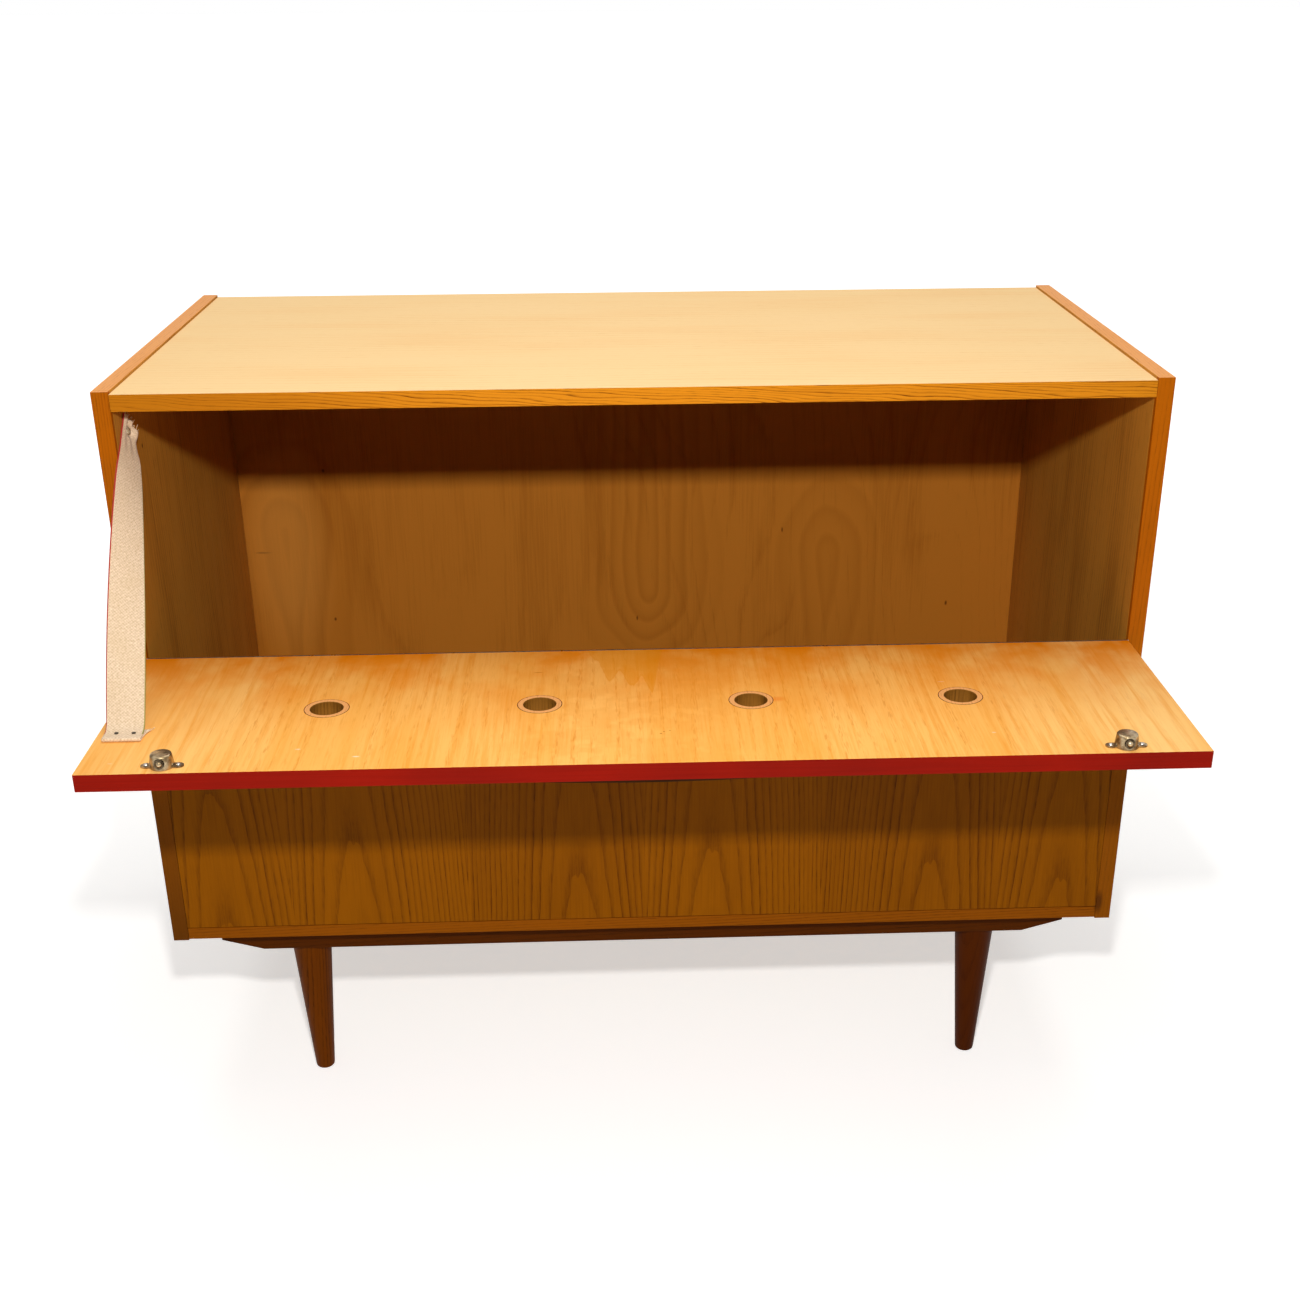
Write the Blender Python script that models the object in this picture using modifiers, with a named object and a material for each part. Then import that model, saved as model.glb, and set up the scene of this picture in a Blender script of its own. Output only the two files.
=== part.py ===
# Bar cabinet with a drop-front flap, on four turned legs.
# Metres, +Z up, front towards -Y. The flap is modelled open, held level by its webbing strap.
# The origin is on the floor, under the middle of the open cabinet.

import math

import bmesh
import bpy
from mathutils import Matrix, Vector

# Clearance between a piece and what it rests on or sits in
SEAT = 0.0003

# Carcass boards
CARCASS_WIDTH = 1.000
CARCASS_DEPTH = 0.486
CARCASS_HEIGHT = 0.584
SIDE_THICKNESS = 0.016
TOP_THICKNESS = 0.016
BOTTOM_THICKNESS = 0.013
LIPPING_DEPTH = 0.006
TOP_RECESS = 0.0025
BOTTOM_RECESS = 0.0015
BACK_THICKNESS = 0.004
BACK_RECESS = 0.001
BACK_REBATE = 0.008

# Fixed panel below the flap, measured from the carcass's lower edge
FRONT_PANEL_TOP = 0.3022
FRONT_PANEL_THICKNESS = 0.015
FRONT_PANEL_JOINT = 0.0006

# Loose plywood tongues that join the boards, glued into grooves
TONGUE_THICKNESS = 0.004
TONGUE_IN_SIDE = 0.007
TONGUE_IN_BOARD = 0.010
TONGUE_END_MARGIN = 0.035
TONGUE_BEHIND_LIPPING = 0.0015

# Leg rails and legs
RAIL_SIDE_MARGIN = 0.0447
RAIL_HEIGHT = 0.027
RAIL_DEPTH = 0.050
RAIL_SETBACK = 0.020
RAIL_BEVEL_LENGTH = 0.044
RAIL_BEVEL_HEIGHT = 0.0125
LEG_FROM_SIDE = 0.1355
LEG_LENGTH = 0.169
LEG_TOP_RADIUS = 0.0213
LEG_FOOT_RADIUS = 0.0103
LEG_SHOULDER_ROUND = 0.0015
LEG_FOOT_ROUND = 0.003
TENON_RADIUS = 0.011
TENON_LENGTH = 0.020

# Flap
FLAP_THICKNESS = 0.0163
FLAP_SIDE_CLEARANCE = 0.001
FLAP_TOP_CLEARANCE = 0.0015

# Wooden handle on the flap's outer face, dowelled on
HANDLE_LENGTH = 0.220
HANDLE_HEIGHT = 0.013
HANDLE_DEPTH = 0.011
HANDLE_END_DEPTH = 0.0082
HANDLE_END_ROUND = 0.004
HANDLE_SETBACK = 0.018
HANDLE_DOWEL_RADIUS = 0.003
HANDLE_DOWEL_SPACING = 0.128
HANDLE_DOWEL_IN_FLAP = 0.009
HANDLE_DOWEL_IN_HANDLE = 0.006

# Turned rings that line the flap's vent holes
VENT_COUNT = 4
VENT_RING_RADIUS = 0.0200
VENT_BORE_RADIUS = 0.0148
VENT_RING_CHAMFER = 0.0006

# Piano hinge, made of two rolled leaves on one pin
LEAF_THICKNESS = 0.0008
LEAF_PROUD = 0.0003
KNUCKLE_RADIUS = 0.00235
KNUCKLE_STANDOFF = 0.00035
KNUCKLE_COUNT = 30
KNUCKLE_GAP = 0.0006
KNUCKLE_ROLL = math.radians(290)
HINGE_PIN_RADIUS = 0.0013
HINGE_HOLES_PER_LEAF = 7
HINGE_HOLE_RADIUS = 0.0029
HINGE_HOLE_END_MARGIN = 0.048

# Countersunk screws that hold the leg rails under the bottom panel
RAIL_SCREW_HEAD_RADIUS = 0.0042
RAIL_SCREW_SHANK_RADIUS = 0.002
RAIL_SCREW_LENGTH = 0.032
RAIL_SCREW_FROM_LEG = 0.1145

# Ball catches on the flap, and their strike plates under the top
CATCH_FROM_END = 0.072
CATCH_SETBACK = 0.0139
CUP_HEIGHT = 0.012
CUP_BASE_RADIUS = 0.0105
CUP_TOP_RADIUS = 0.0092
CUP_EDGE_ROUND = 0.0016
CUP_WALL = 0.0008
EAR_SPAN = 0.0365
EAR_RADIUS = 0.0045
EAR_THICKNESS = 0.001
EAR_SCREW_SPACING = 0.0272
BALL_HEIGHT = 0.006
BALL_RADIUS = 0.00325
BALL_SINK = 0.0016
SLEEVE_RADIUS = 0.0043
SLEEVE_BORE_RADIUS = 0.0035
SLEEVE_LENGTH = 0.018
SLEEVE_FLOOR = 0.001
SLEEVE_LIP_RADIUS = 0.0031
SLEEVE_LIP_LENGTH = 0.0004
SLEEVE_MOUTH_STANDOFF = 0.0104
SPRING_RADIUS = 0.0026
SPRING_WIRE_RADIUS = 0.00035
SPRING_TURNS = 6
CATCH_SCREW_HEAD_RADIUS = 0.0022
CATCH_SCREW_HEAD_HEIGHT = 0.0014
CATCH_SCREW_SHANK_RADIUS = 0.0011
CATCH_SCREW_LENGTH = 0.010
STRIKE_LENGTH = 0.034
STRIKE_WIDTH = 0.011
STRIKE_CORNER = 0.003
STRIKE_THICKNESS = 0.0015
STRIKE_HOLE_RADIUS = 0.0036
STRIKE_SCREW_SPACING = 0.024
STRIKE_SCREW_HEAD_RADIUS = 0.0026
STRIKE_SCREW_SHANK_RADIUS = 0.0012
STRIKE_SCREW_LENGTH = 0.011

# Webbing strap on the left, its screw and its tacks
STRAP_WIDTH = 0.034
STRAP_THICKNESS = 0.0016
STRAP_SCREW_BEHIND_FRONT = 0.038
STRAP_SCREW_BELOW_TOP = 0.0275
STRAP_END_MARGIN = 0.012
STRAP_TWIST_SHARE = 0.42
STRAP_HEM_LENGTH = 0.018
STRAP_HEM_THICKNESS = 0.0036
STRAP_HEM_FROM_SIDE = 0.0103
STRAP_HEM_FROM_EDGE = 0.063
STRAP_SCREW_HEAD_RADIUS = 0.0042
STRAP_SCREW_HEAD_HEIGHT = 0.0028
STRAP_SCREW_SHANK_RADIUS = 0.0018
STRAP_SCREW_LENGTH = 0.013
TACK_SPACING = 0.015
TACK_SETBACK = 0.0105
TACK_HEAD_RADIUS = 0.0019
TACK_HEAD_HEIGHT = 0.0006
TACK_SHANK_RADIUS = 0.0008
TACK_LENGTH = 0.011

# Facets of round pieces
ROUND_STEPS = 24
SMALL_STEPS = 12
BORE_STEPS = 8
KNUCKLE_STEPS = 10
HANDLE_STEPS = 12
STRAP_TWIST_STEPS = 6

# Heights, from the floor up
RAIL_Z = LEG_LENGTH + SEAT
BOTTOM_Z = RAIL_Z + RAIL_HEIGHT + SEAT
CARCASS_Z = BOTTOM_Z - BOTTOM_RECESS
INNER_FLOOR_Z = BOTTOM_Z + BOTTOM_THICKNESS
FRONT_PANEL_Z = INNER_FLOOR_Z + FRONT_PANEL_JOINT
FRONT_PANEL_TOP_Z = CARCASS_Z + FRONT_PANEL_TOP
TOP_Z = CARCASS_Z + CARCASS_HEIGHT - TOP_RECESS - TOP_THICKNESS

# The hinge axis stands in front of the closed flap's lower edge, halfway between the two leaves
LEAF_SEAT = SEAT + KNUCKLE_RADIUS
HINGE_AHEAD = KNUCKLE_RADIUS + KNUCKLE_STANDOFF
HINGE_Z = FRONT_PANEL_TOP_Z + LEAF_SEAT
FLAP_LENGTH = TOP_Z - FLAP_TOP_CLEARANCE - (HINGE_Z + LEAF_SEAT)
FLAP_REACH = HINGE_AHEAD + LEAF_SEAT + FLAP_LENGTH

# Depths: the open flap and the carcass are centred on the origin together
FRONT_Y = (FLAP_REACH - CARCASS_DEPTH) / 2
BACK_Y = FRONT_Y + CARCASS_DEPTH
HINGE_Y = FRONT_Y - HINGE_AHEAD
FLAP_BACK_Y = HINGE_Y - LEAF_SEAT
FLAP_FRONT_Y = FLAP_BACK_Y - FLAP_LENGTH
BACK_SEAT_Y = BACK_Y - BACK_RECESS - BACK_THICKNESS - SEAT

# The open flap's lower and upper faces
FLAP_Z = HINGE_Z + HINGE_AHEAD
FLAP_TOP_Z = FLAP_Z + FLAP_THICKNESS

# Widths
INNER_HALF = CARCASS_WIDTH / 2 - SIDE_THICKNESS
BOARD_HALF = INNER_HALF - SEAT
FLAP_HALF = INNER_HALF - FLAP_SIDE_CLEARANCE
CATCH_X = FLAP_HALF - CATCH_FROM_END
RAIL_HALF = CARCASS_WIDTH / 2 - RAIL_SIDE_MARGIN
LEG_X = CARCASS_WIDTH / 2 - LEG_FROM_SIDE
RAIL_SCREW_X = LEG_X - RAIL_SCREW_FROM_LEG

X_AXIS = Vector((1, 0, 0))
Y_AXIS = Vector((0, 1, 0))
Z_AXIS = Vector((0, 0, 1))


def clear_scene():
    for item in list(bpy.data.objects):
        bpy.data.objects.remove(item, do_unlink=True)


def make_collection(name):
    collection = bpy.data.collections.new(name)
    bpy.context.scene.collection.children.link(collection)
    return collection


def make_material(name, colour, roughness, metallic=0.0):
    material = bpy.data.materials.new(name)
    material.use_nodes = True
    shader = material.node_tree.nodes["Principled BSDF"]
    shader.inputs["Base Color"].default_value = (*colour, 1.0)
    shader.inputs["Roughness"].default_value = roughness
    shader.inputs["Metallic"].default_value = metallic
    return material


clear_scene()
PARTS = make_collection("bar_cabinet")
CUTTERS = make_collection("cutters")

VENEER = make_material("pale_veneer", (0.86, 0.56, 0.26), 0.40)
OAK = make_material("brown_veneer", (0.34, 0.16, 0.03), 0.42)
LIPPING = make_material("solid_lipping", (0.62, 0.26, 0.03), 0.38)
PLYWOOD = make_material("plywood", (0.55, 0.30, 0.11), 0.55)
LACQUER = make_material("red_lacquer", (0.32, 0.012, 0.006), 0.30)
BROWN_WOOD = make_material("brown_beech", (0.22, 0.07, 0.015), 0.40)
PEG_WOOD = make_material("peg_beech", (0.70, 0.45, 0.22), 0.60)
NICKEL = make_material("nickel_plate", (0.52, 0.45, 0.37), 0.25, 1.0)
STEEL = make_material("bright_steel", (0.60, 0.58, 0.56), 0.30, 1.0)
WEBBING = make_material("cotton_webbing", (0.82, 0.66, 0.46), 0.90)


def add_object(name, mesh, material=None, location=(0, 0, 0), parent=None):
    # A piece with a material is a part; without one it is a cutter.
    obj = bpy.data.objects.new(name, mesh)
    place = Vector(location)
    if parent is not None:
        obj.parent = parent
        place -= parent.matrix_world.translation
    obj.location = place
    if material is None:
        CUTTERS.objects.link(obj)
        obj.hide_render = True
        obj.display_type = "WIRE"
    else:
        PARTS.objects.link(obj)
        obj.data.materials.append(material)
    bpy.context.view_layer.update()
    return obj


def add_empty(name, location, parent=None):
    empty = bpy.data.objects.new(name, None)
    place = Vector(location)
    if parent is not None:
        empty.parent = parent
        place -= parent.matrix_world.translation
    empty.location = place
    PARTS.objects.link(empty)
    bpy.context.view_layer.update()
    return empty


def mesh_from(bm, name):
    mesh = bpy.data.meshes.new(name)
    bm.to_mesh(mesh)
    bm.free()
    return mesh


def smooth_round(obj):
    obj.data.shade_smooth()
    obj.data.set_sharp_from_angle(angle=math.radians(35))


def add_block(bm, low, high):
    size = Vector(high) - Vector(low)
    centre = (Vector(high) + Vector(low)) / 2
    block = bmesh.ops.create_cube(bm, size=1.0)
    bmesh.ops.scale(bm, vec=size, verts=block["verts"])
    bmesh.ops.translate(bm, vec=centre, verts=block["verts"])


def add_rod(bm, radius, start, end, steps):
    run = Vector(end) - Vector(start)
    turn = run.to_track_quat("Z", "Y").to_matrix().to_4x4()
    place = Matrix.Translation((Vector(start) + Vector(end)) / 2)
    bmesh.ops.create_cone(bm, cap_ends=True, segments=steps, radius1=radius, radius2=radius,
                          depth=run.length, matrix=place @ turn)


def add_turned(bm, profile, base, direction, steps):
    # Spins (radius, height) points about an axis that starts at base.
    verts = [bm.verts.new((radius, 0, height)) for radius, height in profile]
    edges = [bm.edges.new(pair) for pair in zip(verts, verts[1:])]
    bmesh.ops.spin(bm, geom=verts + edges, cent=(0, 0, 0), axis=Z_AXIS,
                   angle=math.tau, steps=steps, use_merge=True)
    made = [vert for vert in bm.verts if not vert.tag]
    bmesh.ops.remove_doubles(bm, verts=made, dist=1e-6)
    made = [vert for vert in bm.verts if not vert.tag]
    faces = list({face for vert in made for face in vert.link_faces})
    bmesh.ops.recalc_face_normals(bm, faces=faces)
    turn = Vector(direction).to_track_quat("Z", "Y").to_matrix().to_4x4()
    bmesh.ops.transform(bm, matrix=Matrix.Translation(base) @ turn, verts=made)
    for vert in made:
        vert.tag = True


def board(name, low, high, material, parent=None):
    bm = bmesh.new()
    centre = (Vector(low) + Vector(high)) / 2
    add_block(bm, Vector(low) - centre, Vector(high) - centre)
    return add_object(name, mesh_from(bm, name), material, centre, parent)


def outline_mesh(name, points, thickness):
    # A flat outline, extruded and made a mesh with its caps welded on.
    curve = bpy.data.curves.new(name, "CURVE")
    curve.dimensions = "2D"
    curve.fill_mode = "BOTH"
    curve.extrude = thickness / 2
    spline = curve.splines.new("POLY")
    spline.points.add(len(points) - 1)
    for point, (x, y) in zip(spline.points, points):
        point.co = (x, y, 0, 1)
    spline.use_cyclic_u = True
    flat = bpy.data.objects.new(name + "_outline", curve)
    CUTTERS.objects.link(flat)
    graph = bpy.context.evaluated_depsgraph_get()
    mesh = bpy.data.meshes.new_from_object(flat.evaluated_get(graph))
    bpy.data.objects.remove(flat, do_unlink=True)
    bm = bmesh.new()
    bm.from_mesh(mesh)
    bmesh.ops.remove_doubles(bm, verts=bm.verts, dist=1e-6)
    bmesh.ops.recalc_face_normals(bm, faces=bm.faces)
    bm.to_mesh(mesh)
    bm.free()
    return mesh


def rounded_slab(length, width, radius, steps):
    # Points round a rectangle with round corners.
    points = []
    for quarter, (sx, sy) in enumerate([(1, 1), (-1, 1), (-1, -1), (1, -1)]):
        centre_x = sx * (length / 2 - radius)
        centre_y = sy * (width / 2 - radius)
        for step in range(steps + 1):
            angle = (quarter + step / steps) * math.pi / 2
            point = (centre_x + radius * math.cos(angle), centre_y + radius * math.sin(angle))
            if not any(math.dist(point, other) < 1e-6 for other in points):
                points.append(point)
    return points


def turned_piece(name, profile, material, location, steps, closed=False, parent=None, rotation=None):
    # A profile of (radius, height) points, top to bottom on its outer side, with a Screw modifier.
    bm = bmesh.new()
    verts = [bm.verts.new((radius, 0, height)) for radius, height in profile]
    for pair in zip(verts, verts[1:]):
        bm.edges.new(pair)
    if closed:
        bm.edges.new((verts[-1], verts[0]))
    obj = add_object(name, mesh_from(bm, name), material, location, parent)
    if rotation is not None:
        obj.rotation_euler = rotation
    screw = obj.modifiers.new("turn", "SCREW")
    screw.axis = "Z"
    screw.steps = steps
    screw.render_steps = steps
    screw.use_merge_vertices = True
    screw.merge_threshold = 0.00001
    screw.use_smooth_shade = True
    bpy.context.view_layer.update()
    return obj


def combine(obj, tool, operation):
    modifier = obj.modifiers.new(tool.name, "BOOLEAN")
    modifier.operation = operation
    modifier.solver = "EXACT"
    modifier.object = tool


class Cuts:
    # Collects the shapes to be cut out of one piece, and cuts them in one go.
    def __init__(self, target):
        self.target = target
        self.bm = bmesh.new()

    def block(self, low, high):
        add_block(self.bm, low, high)
        self.tag()

    def bore(self, radius, start, end, steps=BORE_STEPS):
        add_rod(self.bm, radius, start, end, steps)
        self.tag()

    def turned(self, profile, base, direction, steps=BORE_STEPS):
        add_turned(self.bm, profile, base, direction, steps)

    def tag(self):
        for vert in self.bm.verts:
            vert.tag = True

    def make(self):
        name = self.target.name + "_cuts"
        tool = add_object(name, mesh_from(self.bm, name))
        combine(self.target, tool, "DIFFERENCE")


def spread(count, length):
    # Evenly spaced places along a length centred on zero, ends included.
    return [length * (index / (count - 1) - 0.5) for index in range(count)]


def countersunk(head, shank, length, clearance=0.0):
    # A countersunk screw, pointing down from its flat top at height 0.
    drop = head - shank
    return [(0, clearance), (head + clearance, clearance), (head + clearance, 0),
            (shank + clearance, -drop), (shank + clearance, -length - clearance),
            (0, -length - clearance)]


def round_head(head, height, shank, length):
    # A round-headed screw or tack whose head sits on height 0.
    arc = [(head * math.sin(angle), height * math.cos(angle))
           for angle in (0, math.radians(35), math.radians(65), math.radians(90))]
    return arc + [(shank, 0), (shank, -length), (0, -length)]


def flat_head(head, height, shank, length):
    return [(0, height), (head, height), (head, 0), (shank, 0), (shank, -length), (0, -length)]


def fastener(name, place, profile, direction, material, steps, parent=None):
    turn = Vector(direction).to_track_quat("Z", "Y").to_euler()
    turned_piece(name, profile, material, place, steps, parent=parent, rotation=turn)


FLAP_AXIS = add_empty("flap_axis", (0, HINGE_Y, HINGE_Z))

# Places that several pieces share
RAIL_CENTRES_Y = (FRONT_Y + RAIL_SETBACK + RAIL_DEPTH / 2, BACK_Y - RAIL_SETBACK - RAIL_DEPTH / 2)
TOP_MID_Z = TOP_Z + TOP_THICKNESS / 2
BOTTOM_MID_Z = BOTTOM_Z + BOTTOM_THICKNESS / 2
FRONT_TONGUE_Y = FRONT_Y + LIPPING_DEPTH + SEAT + TONGUE_BEHIND_LIPPING + TONGUE_THICKNESS / 2

HANDS = {"left": -1, "right": 1}
CATCH_Y = FLAP_FRONT_Y + CATCH_SETBACK
STRIKE_Y = FRONT_Y + FLAP_THICKNESS + SEAT + BALL_HEIGHT
STRIKE_FACE_Z = TOP_Z - SEAT - STRIKE_THICKNESS
HINGE_HOLES_X = spread(HINGE_HOLES_PER_LEAF, 2 * (FLAP_HALF - HINGE_HOLE_END_MARGIN))

HANDLE_Y = FLAP_FRONT_Y + HANDLE_SETBACK + HANDLE_HEIGHT / 2
HANDLE_DOWELS = [(side * HANDLE_DOWEL_SPACING / 2, HANDLE_Y, FLAP_Z) for side in (-1, 1)]

STRAP_SCREW_Y = FRONT_Y + STRAP_SCREW_BEHIND_FRONT
STRAP_SCREW_Z = TOP_Z - STRAP_SCREW_BELOW_TOP
STRAP_FACE_X = -INNER_HALF + 2 * SEAT + STRAP_THICKNESS
HEM_X = -INNER_HALF + STRAP_HEM_FROM_SIDE + STRAP_WIDTH / 2
HEM_FRONT_Y = FLAP_FRONT_Y + STRAP_HEM_FROM_EDGE
HEM_TOP_Z = FLAP_TOP_Z + SEAT + STRAP_HEM_THICKNESS
TACKS = [(HEM_X + side * TACK_SPACING / 2, HEM_FRONT_Y + TACK_SETBACK, HEM_TOP_Z + SEAT)
         for side in (-1, 1)]

RAIL_SCREW_SIZES = (RAIL_SCREW_HEAD_RADIUS, RAIL_SCREW_SHANK_RADIUS, RAIL_SCREW_LENGTH)
RAIL_SCREW = countersunk(*RAIL_SCREW_SIZES)
RAIL_SCREW_BORE = countersunk(*RAIL_SCREW_SIZES, SEAT)
STRIKE_SCREW_SIZES = (STRIKE_SCREW_HEAD_RADIUS, STRIKE_SCREW_SHANK_RADIUS, STRIKE_SCREW_LENGTH)
STRIKE_SCREW = countersunk(*STRIKE_SCREW_SIZES)
STRIKE_SCREW_BORE = countersunk(*STRIKE_SCREW_SIZES, SEAT)


def pair_places(centre, spacing):
    # Two places beside a centre, along X.
    x, y, z = centre
    return [(x - spacing / 2, y, z), (x + spacing / 2, y, z)]


def catch_centre(hand):
    return HANDS[hand] * CATCH_X


def strike_screw_places(hand):
    return pair_places((catch_centre(hand), STRIKE_Y, STRIKE_FACE_Z), STRIKE_SCREW_SPACING)


def catch_screw_places(hand):
    face_z = FLAP_TOP_Z + SEAT + EAR_THICKNESS + SEAT
    return pair_places((catch_centre(hand), CATCH_Y, face_z), EAR_SCREW_SPACING)


def rail_screw_places(centre_y):
    return pair_places((0, centre_y, INNER_FLOOR_Z), 2 * RAIL_SCREW_X)


def tongue_boxes(side):
    # Low and high corners of the tongues between one side panel and the three boards it holds.
    edges = sorted((side * (INNER_HALF + TONGUE_IN_SIDE), side * (INNER_HALF - TONGUE_IN_BOARD)))
    half = TONGUE_THICKNESS / 2
    low_y = FRONT_Y + TONGUE_END_MARGIN
    high_y = BACK_Y - TONGUE_END_MARGIN
    low_z = FRONT_PANEL_Z + TONGUE_END_MARGIN
    high_z = FRONT_PANEL_TOP_Z - TONGUE_END_MARGIN
    return {"top": ((edges[0], low_y, TOP_MID_Z - half), (edges[1], high_y, TOP_MID_Z + half)),
            "bottom": ((edges[0], low_y, BOTTOM_MID_Z - half), (edges[1], high_y, BOTTOM_MID_Z + half)),
            "front": ((edges[0], FRONT_TONGUE_Y - half, low_z),
                      (edges[1], FRONT_TONGUE_Y + half, high_z))}


def cut_groove(cuts, side, joint):
    low, high = tongue_boxes(side)[joint]
    room = Vector((SEAT, SEAT, SEAT))
    cuts.block(Vector(low) - room, Vector(high) + room)


def side_panel(name, side):
    inner = side * INNER_HALF
    outer = side * CARCASS_WIDTH / 2
    panel = board(name, (min(inner, outer), FRONT_Y + LIPPING_DEPTH + SEAT, CARCASS_Z),
                  (max(inner, outer), BACK_Y, CARCASS_Z + CARCASS_HEIGHT), VENEER)
    cuts = Cuts(panel)
    rebate = inner + side * BACK_REBATE
    overrun = inner - side * SIDE_THICKNESS
    cuts.block((min(overrun, rebate), BACK_SEAT_Y, CARCASS_Z - SIDE_THICKNESS),
               (max(overrun, rebate), BACK_Y + SIDE_THICKNESS, TOP_Z + BACK_REBATE))
    for joint in tongue_boxes(side):
        cut_groove(cuts, side, joint)
    if side < 0:
        cuts.bore(STRAP_SCREW_SHANK_RADIUS + SEAT, (inner + SIDE_THICKNESS, STRAP_SCREW_Y, STRAP_SCREW_Z),
                  (STRAP_FACE_X - STRAP_SCREW_LENGTH - SEAT, STRAP_SCREW_Y, STRAP_SCREW_Z))
    cuts.make()
    board(name.replace("panel", "lipping"), (min(inner, outer), FRONT_Y, CARCASS_Z),
          (max(inner, outer), FRONT_Y + LIPPING_DEPTH, CARCASS_Z + CARCASS_HEIGHT), LIPPING)


def top_panel():
    panel = board("top_panel", (-BOARD_HALF, FRONT_Y + LIPPING_DEPTH + SEAT, TOP_Z),
                  (BOARD_HALF, BACK_Y, TOP_Z + TOP_THICKNESS), VENEER)
    cuts = Cuts(panel)
    cuts.block((-CARCASS_WIDTH, BACK_SEAT_Y, TOP_Z - TOP_THICKNESS),
               (CARCASS_WIDTH, BACK_Y + TOP_THICKNESS, TOP_Z + BACK_REBATE))
    for hand, side in HANDS.items():
        cut_groove(cuts, side, "top")
        for place in strike_screw_places(hand):
            cuts.turned(STRIKE_SCREW_BORE, place, -Z_AXIS)
    cuts.make()
    board("top_lipping", (-BOARD_HALF, FRONT_Y, TOP_Z),
          (BOARD_HALF, FRONT_Y + LIPPING_DEPTH, TOP_Z + TOP_THICKNESS), LIPPING)


def bottom_panel():
    panel = board("bottom_panel", (-BOARD_HALF, FRONT_Y + LIPPING_DEPTH + SEAT, BOTTOM_Z),
                  (BOARD_HALF, BACK_SEAT_Y, INNER_FLOOR_Z), VENEER)
    cuts = Cuts(panel)
    for side in HANDS.values():
        cut_groove(cuts, side, "bottom")
    for centre_y in RAIL_CENTRES_Y:
        for place in rail_screw_places(centre_y):
            cuts.turned(RAIL_SCREW_BORE, place, Z_AXIS)
    cuts.make()
    board("bottom_lipping", (-BOARD_HALF, FRONT_Y, BOTTOM_Z),
          (BOARD_HALF, FRONT_Y + LIPPING_DEPTH, INNER_FLOOR_Z), LIPPING)


def back_panel():
    half = INNER_HALF + BACK_REBATE - SEAT
    low_y = BACK_SEAT_Y + SEAT
    board("back_panel", (-half, low_y, BOTTOM_Z),
          (half, low_y + BACK_THICKNESS, TOP_Z + BACK_REBATE - SEAT), PLYWOOD)


def lower_front_panel():
    panel = board("lower_front_panel", (-BOARD_HALF, FRONT_Y, FRONT_PANEL_Z),
                  (BOARD_HALF, FRONT_Y + FRONT_PANEL_THICKNESS, FRONT_PANEL_TOP_Z), OAK)
    cuts = Cuts(panel)
    for side in HANDS.values():
        cut_groove(cuts, side, "front")
    cuts.make()


def tongues():
    for hand, side in HANDS.items():
        for joint, (low, high) in tongue_boxes(side).items():
            board("tongue_" + joint + "_" + hand, low, high, PEG_WOOD)


def leg_rail(name, centre_y):
    half = RAIL_HALF
    outline = [(-half, RAIL_HEIGHT), (-half, RAIL_BEVEL_HEIGHT), (-half + RAIL_BEVEL_LENGTH, 0),
               (half - RAIL_BEVEL_LENGTH, 0), (half, RAIL_BEVEL_HEIGHT), (half, RAIL_HEIGHT)]
    mesh = outline_mesh(name, outline, RAIL_DEPTH)
    mesh.transform(Matrix.Rotation(math.radians(90), 4, "X"))
    rail = add_object(name, mesh, BROWN_WOOD, (0, centre_y, RAIL_Z))
    cuts = Cuts(rail)
    for side in (-1, 1):
        x = side * LEG_X
        cuts.bore(TENON_RADIUS + SEAT, (x, centre_y, RAIL_Z - RAIL_HEIGHT),
                  (x, centre_y, RAIL_Z + TENON_LENGTH + SEAT), ROUND_STEPS)
    for place in rail_screw_places(centre_y):
        cuts.turned(RAIL_SCREW_BORE, place, Z_AXIS)
    cuts.make()


def leg(name, x, y):
    taper = (LEG_TOP_RADIUS - LEG_FOOT_RADIUS) / LEG_LENGTH
    shoulder = LEG_LENGTH - LEG_SHOULDER_ROUND
    profile = [(0, LEG_LENGTH + SEAT + TENON_LENGTH), (TENON_RADIUS, LEG_LENGTH + SEAT + TENON_LENGTH),
               (TENON_RADIUS, LEG_LENGTH), (LEG_TOP_RADIUS - LEG_SHOULDER_ROUND, LEG_LENGTH),
               (LEG_TOP_RADIUS - taper * LEG_SHOULDER_ROUND, shoulder)]
    for step in range(4):
        angle = math.radians(30 * step)
        profile.append((LEG_FOOT_RADIUS - LEG_FOOT_ROUND * (1 - math.cos(angle)),
                        LEG_FOOT_ROUND * (1 - math.sin(angle))))
    profile.append((0, 0))
    turned_piece(name, profile, BROWN_WOOD, (x, y, 0), ROUND_STEPS)


def rails_and_legs():
    for end, y in zip(("front", "rear"), RAIL_CENTRES_Y):
        leg_rail("leg_rail_" + end, y)
        for hand, side in HANDS.items():
            leg("leg_" + end + "_" + hand, side * LEG_X, y)
        for hand, place in zip(HANDS, rail_screw_places(y)):
            fastener("rail_screw_" + end + "_" + hand, place, RAIL_SCREW, Z_AXIS, STEEL, BORE_STEPS)


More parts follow.
